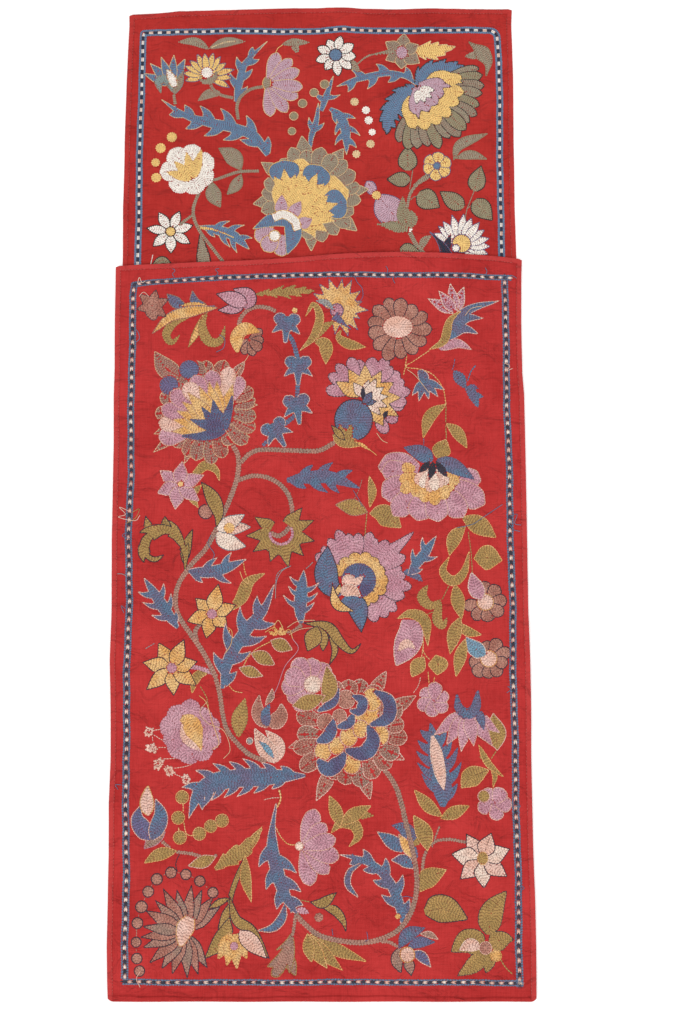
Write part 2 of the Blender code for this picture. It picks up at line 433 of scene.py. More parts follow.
# rowPitch is between rows of a filling, length is one stitch, width its thread loop's, rise its height, and
# loose is how unevenly it lies
stitching = {
    "face": {"rowPitch": 1.45, "length": 2.3, "width": 2.9, "rise": 0.5, "loose": 0.05,
             "edgeLength": 2.0, "edgeWidth": 1.35, "edgeRise": 0.55},
    "reverse": {"rowPitch": 1.5, "length": 3.2, "width": 3.1, "rise": 0.42, "loose": 0.12,
                "edgeLength": 2.8, "edgeWidth": 1.3, "edgeRise": 0.5},
}

thin = {"rowPitch": 1.9, "inset": 1.2, "width": 2.7}  # rows that let the cotton show between them
grown = (0.1, 0.35)  # how far a shape keeps others off, without and with an outline

# stitches as closed low shapes. Points are (along, across, up), for a stitch from along 0 to 1
chainShape = {  # a chain loop: pointed at its start, with two strands and a groove between
    "points": [(-0.12, 0, 0.5), (0.6, -0.5, 0), (0.58, -0.3, 1), (0.5, 0, 0.5), (0.58, 0.3, 1),
               (0.6, 0.5, 0), (1.18, 0, 0.3)],
    "faces": [(0, 2, 1), (0, 3, 2), (0, 4, 3), (0, 5, 4), (0, 1, 5),
              (1, 2, 6), (2, 3, 6), (3, 4, 6), (4, 5, 6), (5, 1, 6)],
}
dashShape = {  # a straight stitch between two holes, as the back of a chain shows
    "points": [(-0.22, 0, 0.35), (0.5, -0.5, 0), (0.5, 0, 1), (0.5, 0.5, 0), (1.22, 0, 0.35)],
    "faces": [(0, 2, 1), (0, 3, 2), (0, 1, 3), (4, 1, 2), (4, 2, 3), (4, 3, 1)],
}
edgeShape = {  # a small stitch of an outline, the next one starting beside its end
    "points": [(-0.35, 0, 0.45), (0.5, -0.5, 0), (0.5, 0, 1), (0.5, 0.5, 0), (1.35, 0, 0.45)],
    "faces": dashShape["faces"],
}
barShape = {  # a bar of several threads side by side, square at its ends
    "points": [(0, -0.4, 0), (0, 0.4, 0), (0.04, 0, 0.7), (0.12, -0.5, 0), (0.15, 0, 1), (0.12, 0.5, 0),
               (0.88, -0.5, 0), (0.85, 0, 1), (0.88, 0.5, 0), (0.96, 0, 0.7), (1, -0.4, 0), (1, 0.4, 0)],
    "faces": [(0, 2, 3), (2, 4, 3), (2, 1, 4), (1, 5, 4), (0, 1, 2), (3, 4, 6), (4, 7, 6), (4, 5, 7),
              (5, 8, 7), (6, 7, 10), (7, 9, 10), (7, 8, 9), (8, 11, 9), (9, 11, 10), (0, 3, 1), (3, 5, 1),
              (3, 6, 5), (6, 8, 5), (6, 10, 8), (10, 11, 8)],
}
stitchShapes = {"chain": chainShape, "dash": dashShape, "edge": edgeShape, "bar": barShape}
sewn = {}   # (thread, layer, shape) to lists of [x0, y0, x1, y1, width, rise, shade] rows
tails = []  # loose thread ends and floats: (thread, layer, path)
needle = {"layer": "face"}  # the layer being worked

# which spots of each layer are worked already, in cells of half a millimetre. What is sewn first lies in
# front: worked holds whole shapes, and covered what their stitches hide
spots = {"cell": 0.5, "left": -235, "near": -565, "rows": 2260, "columns": 940}
worked = {layer: np.zeros((spots["rows"], spots["columns"]), bool) for layer in stitching}
covered = {layer: np.zeros_like(worked[layer]) for layer in stitching}
steps = np.arange(-1.2, 1.3, 0.4)
beside = {radius: np.array([(x, y) for x in steps for y in steps if math.hypot(x, y) <= radius])
          for radius in (0.45, 0.85, 1.2)}
# how much a stitch covers, as (share of its length, reach to either side)
stitchCover = ((0.0, 0.45), (0.25, 0.85), (0.5, 1.2), (0.75, 0.85), (1.0, 0.45))


def now(table):
    # a table's entry for the layer being worked
    return table[needle["layer"]]


def spotOf(points):
    # row and column of the cell that each point is in
    column = ((points[..., 0] - spots["left"]) / spots["cell"]).astype(int)
    row = ((points[..., 1] - spots["near"]) / spots["cell"]).astype(int)
    return np.clip(row, 0, spots["rows"] - 1), np.clip(column, 0, spots["columns"] - 1)


def isWorked(points):
    # whether each point's cell is worked
    return now(worked)[spotOf(points)]


def smoothPath(points, step=0.5):
    # a curve through the points, given as x, y, x, y: cubics whose end slopes are half the step between the
    # neighbours, then even steps
    p = np.asarray(points, float).reshape(-1, 2)
    slope = np.gradient(p, axis=0) if len(p) > 1 else p * 0
    t = np.linspace(0, len(p) - 1, 16 * (len(p) - 1) + 1)
    i = np.minimum(t.astype(int), len(p) - 2)
    f = (t - i)[:, None]
    a, b, ma, mb = p[i], p[i + 1], slope[i], slope[i + 1]
    q = a * (2 * f**3 - 3 * f**2 + 1) + ma * (f**3 - 2 * f**2 + f) + b * (3 * f**2 - 2 * f**3)
    return evenly(q + mb * (f**3 - f**2), step=step)


def evenly(line, step=None, count=None):
    # the same line again with points at even distances along it
    along = np.concatenate([[0], np.cumsum(np.hypot(*np.diff(line, axis=0).T))])
    count = count or max(2, round(along[-1] / step) + 1)
    at = np.linspace(0, along[-1], count)
    return np.stack([np.interp(at, along, line[:, 0]), np.interp(at, along, line[:, 1])], 1)


def smoothValues(values, t):
    # numbers at even shares of 0 to 1, read between with the same cubics
    v = np.asarray(values, float)
    path = smoothPath(np.stack([np.linspace(0, 1, len(v)) * 100, v], 1), 1.0)
    return np.maximum(np.interp(t * 100, path[:, 0], path[:, 1]), 0)


def sewLine(thread, line, shape=None, width=None, length=None, patch=False):
    # stitches end to end along a line, left out where the spot is worked already. A patch fills a small gap,
    # and lies lower than the rows beside it
    s = now(stitching)
    onFace = needle["layer"] == "face"
    shape = shape or ("chain" if onFace else "dash")
    isEdge = shape == "edge" or (not onFace and width is not None and width <= s["edgeWidth"])
    length = length or (s["edgeLength"] if isEdge else s["length"])
    width = width or (s["edgeWidth"] if isEdge else s["width"])
    total = np.hypot(*np.diff(line, axis=0).T).sum()
    if total < 0.6 * length:
        return
    count = max(1, round(total / (length * (1 + 0.08 * draw.normal()))))
    q = evenly(line, count=count + 1)
    a, b = q[:-1], q[1:]
    keep = ~isWorked(a * 0.5 + b * 0.5)
    if not patch:
        keep &= ~isWorked(a * 0.8 + b * 0.2) & ~isWorked(a * 0.2 + b * 0.8)
    n = int(keep.sum())
    if not n:
        return
    loose = s["loose"]
    a = a[keep] + draw.normal(0, loose, (n, 2))
    b = b[keep] + draw.normal(0, loose, (n, 2))
    if not isEdge:
        for share, reach in stitchCover:
            now(covered)[spotOf((a + (b - a) * share)[:, None] + beside[reach] * width / s["width"])] = True
    rise = s["edgeRise"] if isEdge else s["rise"] * (0.7 if patch else 1.0)
    rowShade = draw.normal(0, 0.05)
    sewn.setdefault((thread, needle["layer"], shape), []).append(np.column_stack([
        a, b, width * (1 + 0.08 * draw.normal(size=n)), rise * (1 + 0.1 * draw.normal(size=n)),
        0.45 + rowShade + 0.13 * draw.normal(size=n)]))


def markWorked(points):
    # make each point's cell a worked one
    now(worked)[spotOf(points)] = True


spineStep = 0.4  # between points of a spine


class Blade:
    # a strip along a smooth spine: a point is spine(t + lean |d| / length) + d times the spine's normal
    def __init__(self, spine, widths, teeth=None, lean=0.0, sides=(1, 1)):
        self.line = smoothPath(spine, spineStep)
        self.length = spineStep * (len(self.line) - 1)
        tangent = np.gradient(self.line, axis=0)
        tangent /= np.maximum(np.hypot(*tangent.T)[:, None], 1e-9)
        self.tangent, self.normal = tangent, np.stack([-tangent[:, 1], tangent[:, 0]], 1)
        self.t = np.linspace(0, 1, len(self.line))
        self.lean = lean
        half = smoothValues(widths, self.t)
        self.left, self.right = half * sides[0], half * sides[1]
        if teeth:
            # a tooth widens steadily along the blade, then drops back: 1 - depth (1 - saw)
            count, depth, shift = teeth
            for side, phase in (("left", 0.0), ("right", shift)):
                saw = (self.t * count + phase) % 1
                cut = 1 - depth * (1 - saw**1.15)
                setattr(self, side, getattr(self, side) * cut)

    def at(self, t, d):
        # points at share t of the length and d to the left, running straight on past the ends
        t = np.asarray(t, float) + self.lean * np.abs(d) / self.length
        inside = np.clip(t, 0, 1)
        index = inside * (len(self.line) - 1)
        k = np.arange(len(self.line))
        out = np.empty(np.broadcast(t, d).shape + (2,))
        past = (t - inside) * self.length
        for axis in (0, 1):
            line, normal, tangent = (np.interp(index, k, table[:, axis])
                                     for table in (self.line, self.normal, self.tangent))
            out[..., axis] = line + d * normal + past * tangent
        return out

    def outline(self):
        # up the left side and back down the right
        return np.concatenate([self.at(self.t, self.left), self.at(self.t[::-1], -self.right[::-1])])


def runs(mask):
    # the first and last index of each unbroken run of True
    step = np.diff(np.concatenate([[0], mask.astype(int), [0]]))
    return list(zip(np.flatnonzero(step == 1), np.flatnonzero(step == -1) - 1))


def echoRow(b, half, side, offset):
    # the outline moved inwards: each point of (s, half(s)) goes offset along (half', -1) / |(half', -1)|
    along = b.t * b.length
    slope = np.gradient(half, along)
    size = np.sqrt(1 + slope**2)
    moved, d = along + offset * slope / size, half - offset / size
    keep = (d > 0.4) & (moved > 0.5 * offset) & (moved < b.length) & (np.gradient(moved) > 0)
    return [b.at(moved[first:last + 1] / b.length, side * d[first:last + 1])
            for first, last in runs(keep) if last - first > 1]


def fillBlade(b, fill, inset, rows):
    # rows of stitches inside a strip, and then short ones wherever those leave room
    s = now(stitching)
    pitch = s["rowPitch"]
    if rows == "along":
        low, high = -b.right.max(), b.left.max()
        count = max(1, round((high - low) / pitch))
        for d in low + (np.arange(count) + 0.5) * (high - low) / count:
            inside = (d <= b.left - inset * 0.6) & (-d <= b.right - inset * 0.6)
            if count == 1:
                inside = np.ones(len(b.t), bool)
            for first, last in runs(inside):
                if (last - first) * spineStep > 0.8:
                    sewLine(fill, b.at(b.t[first:last + 1], np.full(last + 1 - first, d)))
    else:
        for i in range(int(max(b.left.max(), b.right.max()) / pitch) + 1):
            for side, half in ((1, b.left), (-1, b.right)):
                for line in echoRow(b, half, side, inset + i * pitch):
                    sewLine(fill, line)
    across = np.arange(-b.right.max(), b.left.max(), 0.4)
    if len(across) < 4:
        return
    t, d = np.meshgrid(b.t, across)
    at = b.at(t, d)
    bare = (d <= b.left - inset * 0.6) & (-d <= b.right - inset * 0.6)
    bare &= ~isWorked(at) & ~now(covered)[spotOf(at)]
    for row in range(len(across)):
        for first, last in runs(bare[row]):
            if last > first:
                middle = (b.t[first] + b.t[last]) / 2
                reach = max(last - first + 1, 4) * 0.2 / b.length
                line = b.at(np.linspace(middle - reach, middle + reach, 3), np.full(3, across[row] + 0.2))
                sewLine(fill, line, width=0.7 * s["width"], length=min(s["length"], reach * 2 * b.length),
                        patch=True)
                bare[row:row + 3, first:last + 1] = False


def markBlade(b, beyond):
    # work every cell from the right side to the left, and that far past them
    across = np.arange(-b.right.max() - beyond, b.left.max() + beyond + 0.3, 0.35)
    t, d = np.meshgrid(b.t, across)
    inside = (d <= b.left + beyond) & (-d <= b.right + beyond)
    markWorked(b.at(t[inside], d[inside]))


def outlineBlade(b, edge, hidden=None):
    # small stitches round the outline, but for what other parts of the same shape hide
    line = evenly(b.outline(), step=0.5)
    width = now(stitching)["edgeWidth"] * (1.3 if edge == black and needle["layer"] == "face" else 1.0)
    keep = np.ones(len(line), bool) if hidden is None else ~hidden[spotOf(line)]
    for first, last in runs(keep):
        if last - first > 2:
            sewLine(edge, line[first:last + 1], "edge", width)


def insetOf(edge):
    # how far in the outermost row lies: about half an outline's width, and part of its own
    s = now(stitching)
    return 0.45 * s["edgeWidth"] + 0.22 * s["width"] if edge else 0.28 * s["width"]


def blade(spine, widths, fill, edge=None, teeth=None, lean=0.0, rows="along", sides=(1, 1), sparse=False):
    # a leaf, petal, stem or the like: rows of stitches inside it, an outline round it. A sparse one has thin
    # rows that let the cotton show between them
    b = Blade(spine, widths, teeth, lean, sides)
    if edge:
        outlineBlade(b, edge)
    if sparse:
        for i in range(int(max(b.left.max(), b.right.max()) / thin["rowPitch"]) + 1):
            for side, half in ((1, b.left), (-1, b.right)):
                for line in echoRow(b, half, side, thin["inset"] + i * thin["rowPitch"]):
                    sewLine(fill, line, width=thin["width"])
    else:
        fillBlade(b, fill, insetOf(edge), rows)
    markBlade(b, grown[bool(edge)])


def joined(parts, fill, edge=None, rows="echo"):
    # several strips sewn as one shape, with the outline round them all. Rows: spine, half widths
    blades = [Blade(spine, widths) for spine, widths in parts]
    for k, b in enumerate(blades):
        hidden = np.zeros_like(now(worked))
        for other in blades[:k] + blades[k + 1:]:
            t, d = np.meshgrid(other.t, np.arange(-other.right.max(), other.left.max(), 0.35))
            inside = (d < other.left - 0.2) & (-d < other.right - 0.2)
            hidden[spotOf(other.at(t[inside], d[inside]))] = True
        if edge:
            outlineBlade(b, edge, hidden)
    free = now(worked).copy()
    for b in blades:
        fillBlade(b, fill, 0.6, rows)
        markBlade(b, -0.4)
    worked[needle["layer"]] = free
    for b in blades:
        markBlade(b, grown[bool(edge)])


thorn = {"form": (1.0, 0.82, 0.6, 0.38, 0.18, 0.0), "width": 0.74, "reach": 0.9, "body": 0.88}


def thorned(spine, half, reach, fill, edge=None, thorns=4, lean=35, first=0.12, last=0.82, base=0.55,
            form=(0.3, 0.8, 1.0, 1.0, 0.85, 0.5, 0.0), shift=0.5):
    # a slim leaf with big thorns on both sides, whose points lean that many degrees towards its tip
    line = smoothPath(spine, 0.5)
    tangent = np.gradient(line, axis=0)
    heading = np.degrees(np.arctan2(tangent[:, 0], tangent[:, 1]))
    gap = (last - first) * len(line) * 0.5 / thorns
    parts = [(spine, scaled(form, half * thorn["body"]))]
    for side in (1, -1):
        for k in range(thorns):
            share = first + (last - first) * (k + (shift if side < 0 else 0.0)) / max(thorns - 0.5, 1)
            at = min(int(share * len(line)), len(line) - 2)
            x, y = line[at]
            size = thorn["reach"] * reach * float(np.interp(share, np.linspace(0, 1, len(form)), form)) * (
                1 + 0.06 * draw.normal())
            turn = heading[at] + side * (90 - lean)
            middle = headed(x, y, turn + side * 9, size * 0.5)
            parts.append(([(x, y), middle, headed(x, y, turn - side * 5, size)],
                          scaled(thorn["form"], gap * base * thorn["width"])))
    joined(parts, fill, edge)


def headed(x, y, heading, length):
    # a point that far from (x, y), at a heading clockwise from +y
    a = np.radians(heading)
    return x + length * np.sin(a), y + length * np.cos(a)


def ring(x, y, radius, squeeze, angle):
    # points round (x, y): radius times the cosine across, and that times squeeze times the sine along
    return np.stack([x + radius * np.cos(angle), y + radius * squeeze * np.sin(angle)], -1)


def disc(x, y, radius, fill, edge=None, squeeze=1.0):
    # concentric rows: circles a row pitch apart, from the outside in
    s = now(stitching)
    angle = np.linspace(0, 2 * np.pi, 49)
    if edge:
        sewLine(edge, ring(x, y, radius, squeeze, angle), "edge")
    count = max(1, round((radius - 0.3) / s["rowPitch"]))
    for i in range(count):
        r = (radius - (0.7 if edge else 0.2)) * (count - i - 0.5) / count
        sewLine(fill, ring(x, y, max(r, 0.45), squeeze, angle), length=min(s["length"], max(1.3, 2 * r)))
    r, a = np.meshgrid(np.arange(0, radius + 0.3, 0.3), np.linspace(0, 2 * np.pi, max(24, int(radius * 22))))
    markWorked(ring(x, y, r, squeeze, a))


# half widths along a petal or leaf, as shares of the widest
roundTip = (0.45, 0.56, 0.68, 0.79, 0.9, 0.98, 1.0, 0.97, 0.86, 0.62, 0.0)
pointedTip = (0.35, 0.75, 1.0, 0.92, 0.66, 0.33, 0.0)
leafForm = (0.0, 0.55, 0.92, 1.0, 0.8, 0.42, 0.0)
heartForm = (0.25, 0.85, 1.0, 0.95, 0.72, 0.38, 0.0)


def scaled(form, half):
    # each share of the form times the half width
    return tuple(w * half for w in form)


def petals(x, y, heading, spread, count, inner, outer, half, form, uneven):
    # spines and half widths of petals round a point, by the share of the spread, the middle ones first
    full = spread >= 359
    angles = np.arange(count) / count * 360 if full else np.linspace(-spread / 2, spread / 2, count)
    angles = heading + angles
    parts = []
    for k in np.argsort(np.abs(angles - heading), kind="stable"):
        a = angles[k] + draw.normal(0, 1.5)
        reach = outer * (1 + uneven * draw.normal())
        parts.append((k, [headed(x, y, a, r) for r in (inner, (inner + reach) / 2, reach)],
                      scaled(form, half * (1 + 0.05 * draw.normal()))))
    return parts


def fan(x, y, heading, spread, count, inner, outer, half, fill, edge=None, form=roundTip, uneven=0.06,
        rows="echo", sparse=False):
    # petals side by side round a point, each with its own outline
    fills = fill if isinstance(fill, (list, tuple)) else [fill]
    for k, spine, widths in petals(x, y, heading, spread, count, inner, outer, half, form, uneven):
        blade(spine, widths, fills[k % len(fills)], edge, rows=rows, sparse=sparse)


def mass(x, y, heading, spread, count, inner, outer, half, fill, edge=None, form=roundTip, uneven=0.05,
         others=(), rows="echo"):
    # petals run together with one outline round them all
    parts = [part[1:] for part in petals(x, y, heading, spread, count, inner, outer, half, form, uneven)]
    joined(parts + list(others), fill, edge, rows)


def stem(points, width, fill, edge=None, taper=1.0):
    # rows side by side along a curve
    blade(points, (width / 2, width / 2 * (1 + taper) / 2, width / 2 * taper), fill, edge)


def leaf(points, half, fill, edge=None, form=leafForm, vein=None, sparse=False):
    # a plain leaf, with a vein of another thread down its middle if it has one
    if vein:
        line = smoothPath(points, 0.5)
        cut = line[int(len(line) * 0.08):int(len(line) * 0.72)]
        sewLine(vein, cut, width=now(stitching)["width"] * 0.9)
        markWorked(cut)
    blade(points, scaled(form, half), fill, edge, rows="echo", sparse=sparse)


def leaves(fill, edge, *given, form=leafForm):
    # leaves of one thread, given as points from stalk to tip, half width, points, half width and so on
    for points, half in zip(given[::2], given[1::2]):
        leaf(points, half, fill, edge, form)


def hearts(fill, edge, *given):
    # the same with the form of a petal, widest near its stalk
    leaves(fill, edge, *given, form=heartForm)


def between(root, tip):
    # the straight spine from root to tip
    return [root, ((tip[0] + root[0]) / 2, (tip[1] + root[1]) / 2), tip]


def laid(thread, width, *paths):
    # single lines of stitches
    for path in paths:
        sewLine(thread, smoothPath(path), "dash", width=width)


def jagged(points, half, fill, edge=None, teeth=5, depth=0.58, lean=0.7, sides=(1, 1),
           form=(0.22, 0.75, 1.0, 1.0, 0.85, 0.55, 0.0)):
    # a serrated leaf, whose teeth lean towards its tip
    blade(points, scaled(form, half), fill, edge, teeth=(teeth, depth, 0.5), lean=lean, sides=sides)


def daisy(x, y, radius, count, fill, edge, heart, heartRadius, half, form=roundTip, heading=0.0, uneven=0.06):
    # a round heart with petals round it
    disc(x, y, heartRadius, heart, edge)
    fan(x, y, heading, 360, count, heartRadius * 0.95, radius, half, fill, edge, form, uneven=uneven)


def dots(places, radius, fill, edge=None):
    # small discs at x, y, x, y, each up to a tenth larger or smaller
    places = np.reshape(places, (-1, 2)).tolist()
    fills = fill if isinstance(fill, (list, tuple)) else [fill] * len(places)
    for (x, y), thread in zip(places, fills):
        disc(x, y, radius * (1 + 0.05 * draw.normal()), thread, edge)


def tail(thread, *paths):
    # loose ends, laid when the stitches are made
    tails.extend((thread, needle["layer"], path) for path in paths)


def offsetPath(line, d):
    # the same line, d to the left of its run
    tangent = np.gradient(line, axis=0)
    tangent /= np.maximum(np.hypot(*tangent.T)[:, None], 1e-9)
    return line + d * np.stack([-tangent[:, 1], tangent[:, 0]], 1)


def border(corners, settings):
    # two lines of blue with bars of pale and dark thread in turn between them
    line = evenly(np.asarray(corners, float).reshape(-1, 2), step=0.5)
    x, y = line.T
    wobble = np.stack([np.sin(y * 0.043 + 1.0) + 0.5 * np.sin(y * 0.13),
                       np.sin(x * 0.05) + 0.5 * np.sin(x * 0.16)], 1)
    line = line + settings["wobble"] * wobble * 0.5
    for d in (-settings["half"], settings["half"]):
        for e in settings["lineRows"]:
            sewLine(settings["line"], offsetPath(line, d + e), width=settings["lineWidth"],
                    length=settings["lineLength"])
    total = np.hypot(*np.diff(line, axis=0).T).sum()
    count = int(total / settings["bar"])
    stations = evenly(line, count=count + 1)
    for i in range(count):
        a, run = stations[i], stations[i + 1] - stations[i]
        side = np.array([-run[1], run[0]]) / max(np.hypot(*run), 1e-6)
        isPale = i % 2
        thread = settings["pale"][int(draw.integers(len(settings["pale"])))] if isPale else settings["dark"]
        overlap = settings["overlap"]
        start, end = (0, settings["paleShare"]) if isPale else (-overlap, 1 + overlap)
        for d in settings["barRows"]:
            bend = 0 if isPale else settings["twist"] * (1 if d > 0 else -1)
            bar = np.stack([a + run * start + side * (d - bend), a + run * end + side * (d + bend)])
            sewLine(thread, bar, settings["barShape"], width=settings["barWidth" if isPale else "darkWidth"],
                    length=np.hypot(*run) * (end - start))


faceBorder = {"half": 2.75, "wobble": 0.6, "line": blue, "lineRows": (-0.45, 0.5), "lineWidth": 2.1,
              "lineLength": 2.0, "bar": 5.0, "pale": [white, peach, white, peach], "dark": navy,
              "paleShare": 0.96, "barRows": (-0.8, 0.8), "barShape": "bar", "barWidth": 1.5, "darkWidth": 1.9,
              "twist": 0.0, "overlap": 0.02}

reverseSides = {"half": 2.9, "wobble": 0.9, "line": steel, "lineRows": (-0.45, 0.4), "lineWidth": 1.9,
                "lineLength": 2.8, "bar": 5.0, "pale": [white, peach, peach, white], "dark": black,
                "paleShare": 1.15, "barRows": (-0.75, 0.75), "barShape": "dash", "barWidth": 2.3,
                "darkWidth": 2.5, "twist": 0.35, "overlap": 0.2}

reverseEnds = {**reverseSides, "half": 2.4, "lineWidth": 1.7, "lineRows": (-0.3, 0.3), "wobble": 0.7,
               "barRows": (-0.6, 0.6), "barWidth": 2.0}


def arc(x, y, radius, start, end, count=7):
    # points of a round corner, by heading from its middle
    a = np.radians(np.linspace(start, end, count))
    return list(zip(x + radius * np.sin(a), y + radius * np.cos(a)))


def sewFaceBorder():
    left = [(-205.5, 235), (-205.2, 300), (-205.0, 400), (-204.2, 460), (-203.4, 505), (-202.6, 525)]
    top = [(-190, 525.7), (-150, 527.0), (-100, 527.6), (-40, 527.2), (0, 527.6), (14, 529.0), (26, 529.9),
           (40, 528.6), (55, 528.0), (120, 528.4), (165, 528.6)]
    right = [(202.4, 490), (202.7, 440), (202.4, 380), (202.2, 320), (202.8, 270), (202.9, 235)]
    border(left + top + arc(192.5, 519.5, 9.0, 0, 90) + right, faceBorder)


def sewFaceStars():
    # yellow half daisy with a cream heart
    disc(-130, 478, 6.5, white)
    blade([-139, 470, -131, 466.5, -121, 472, -119.5, 480], (0.5, 3.2, 4, 3, 0.6), taupe)
    fan(-130, 475, 5, 226, 12, 6, 27.5, 4, gold, purple, (0.6, 0.85, 1, 0.95, 0.8, 0.45, 0))
    stem([-128, 467, -121, 456, -112, 450.5, -100, 447.5], 3.2, taupe)
    leaves(taupe, None, [-111, 452, -126, 453, -141, 443.5], 5.4, [-127, 505, -144, 515, -165, 514], 5)
    leaf([-129, 506, -108, 514.5, -85, 515], 5.6, taupe, vein=cream)
    # blue bud with a white middle petal
    blade([-166.5, 461, -170, 471, -176, 482], (3, 4.6, 4.4, 2.8, 0), white, cream)
    blade([-167, 453, -162, 466, -156.5, 481], (1.4, 4.4, 4.8, 2.6, 0), taupe, teal, rows="echo")
    blade([-167, 454, -176, 469, -185, 467, -182, 453], (1.4, 3.6, 5.2, 3.4, 0), teal, taupe)
    fan(-170, 463, -20, 92, 5, 2, 35, 5.2, blue, cream, heartForm, uneven=0.05)
    stem([-167.5, 456, -167, 448, -165.5, 440], 2.8, taupe)
    # mauve half flower
    fan(-61, 465, 95, 158, 7, 6, 39.5, 7.4, mauve, cream, uneven=0.03)
    blade([-57, 478, -62, 466, -59, 452], (0.8, 3, 4.6, 3.2, 0.8), taupe, gold)
    stem([-66, 461, -80, 458, -91, 449, -95.5, 437, -94, 422], 3.6, taupe)
    sewLine(gold, smoothPath([-56, 482, -54, 493, -50, 506, -44, 511]), "edge")
    leaf([-46, 511, -33, 514, -12, 514], 4.4, taupe)
    leaf([-33, 512, -29, 507, -27, 500], 4.2, taupe, None, heartForm)


def sewFaceBlueLeaves():
    thorned([-97, 443, -93, 466, -88, 486, -77, 500, -61, 516], 4.6, 20, blue, cream, thorns=3, lean=40,
        last=0.72, base=0.5, form=(0.4, 0.9, 1, 0.9, 0.6, 0.3, 0))
    thorned([-60, 380, -76, 402, -100, 412, -130, 419, -155, 427, -182, 446], 6.4, 27, blue, cream,
        thorns=5, lean=36, first=0.06, base=0.52, form=(0.5, 0.95, 1, 0.95, 0.75, 0.45, 0))
    # sprig above the palmette
    thorned([-12, 389, -11, 402, -5, 422, -3, 442], 3.6, 17, blue, cream, thorns=1, lean=44, first=0.42,
        last=0.7, base=0.4, shift=0, form=(0.4, 0.8, 1, 1, 0.8, 0.5, 0))
    thorned([0, 432, 5, 447, 14, 474], 3.8, 19, blue, cream, thorns=1, lean=22, first=0.4, last=0.7,
        base=0.4, shift=-0.3, form=(0.6, 0.9, 1, 0.9, 0.7, 0.4, 0))
    # branch up to the right
    thorned([110, 462, 97, 473, 75, 477, 45, 471, 17, 461], 3.8, 19, blue, cream, thorns=3, lean=30,
        first=0.16, last=0.82, base=0.4, form=(0.3, 0.8, 0.9, 1, 1, 0.7, 0))
    thorned([10, 435, 22, 425, 28, 407, 29, 380], 5.8, 22, blue, cream, thorns=3, lean=34, first=0.14,
        last=0.72)
    # leaf with a gold midrib, low on the left
    stem([-138, 295, -118, 291.5, -98, 283], 2.8, gold, taper=0.5)
    thorned([-138, 296, -118, 292, -98, 285, -80, 269], 6.2, 22, blue, cream, thorns=3, lean=38, first=0.2,
        last=0.74, form=(0.1, 0.6, 0.95, 1, 0.95, 0.6, 0))


def sewFaceFarRight():
    # white daisy with a blue heart, outlined in black
    daisy(16.5, 499, 24, 9, white, black, blue, 7.4, half=5.4, form=(0.4, 0.8, 1, 1, 0.88, 0.55, 0),
        heading=14, uneven=0.09)
    leaf([26, 495, 35, 489, 43, 479], 4.6, taupe, form=(0.5, 1, 1, 0.8, 0.3))
    stem([84, 504, 66, 501, 52, 497, 40, 487], 4.4, taupe, taper=0.5)
    # taupe flower with a mauve heart
    disc(92, 502, 6.2, mauve, squeeze=1.2)
    fan(93, 502, 65, 360, 6, 4, 21, 7.6, brown, cream, (0.5, 0.85, 1, 0.95, 0.7, 0.35, 0), uneven=0.08)
    jagged([108, 504, 128, 504, 154, 509], 12, gold, cream, teeth=4, depth=0.4, lean=0.6,
        form=(0.7, 1, 1, 0.8, 0.5, 0.25, 0))
    # curved taupe leaf
    blade([188, 474, 190, 490, 182, 503, 168, 515], (0.3, 2.6, 6.5, 8.8, 3.4, 0), taupe, olive)
    leaf([178, 499, 170, 498, 163, 497], 5, taupe, form=(1, 0.9, 0.7, 0.4, 0))
    dots([4, 464, -8, 454, -21, 441, -31, 426, -33, 408], 4.9, olive, cream)
    dots([38, 443, 51, 433, 54, 421, 58, 407, 56, 393, 40, 381], 4.9,
        [cream, white, white, white, cream, cream])
    dots([-169, 401, -181.5, 388, -187, 371, -186, 353], 5.5, gold)


def sewFacePalmette(x=109, y=462, heading=134):
    # half-round palmette: white star, mauve, gold and taupe scallops one behind the other, jagged blue wings
    mass(x + 2, y - 4, heading + 6, 96, 4, 1, 18, 4.4, white, black, heartForm, uneven=0.02)
    horns = [([(x, y), headed(x, y, heading + a * 0.9, 20), headed(x, y, heading + a * 0.8, 40)],
        scaled(leafForm, 5.6)) for a in (-54, 54)]
    mass(x, y, heading, 96, 5, 2, 34, 8, mauve, black, others=horns, uneven=0.04)
    tips = [([headed(x, y, heading + a, 14), headed(x, y, heading + a * 0.96, 32),
        headed(x, y, heading + a * 0.72, 53)], scaled((0.6, 0.95, 1, 0.8, 0.4, 0), 7.8)) for a in (-66, 66)]
    mass(x, y, heading, 108, 7, 12, 53, 8.8, gold, black, others=tips, uneven=0.02)
    fan(x, y, heading, 128, 15, 34, 76, 7.4, [taupe, olive, brown], black, uneven=0.03)
    jagged([x - 1, y + 1, x + 10, y + 17, x + 34, y + 22, x + 68, y + 16], 13, blue, black, teeth=6,
        depth=0.45, lean=0.5, sides=(0.85, 1.6), form=(0.5, 0.95, 1, 0.95, 0.8, 0.5, 0))
    jagged([x - 2, y, x - 20, y - 12, x - 34, y - 34, x - 35, y - 58], 13, blue, black, teeth=6, depth=0.45,
        lean=0.5, sides=(1.6, 0.85), form=(0.5, 0.95, 1, 0.95, 0.8, 0.5, 0))


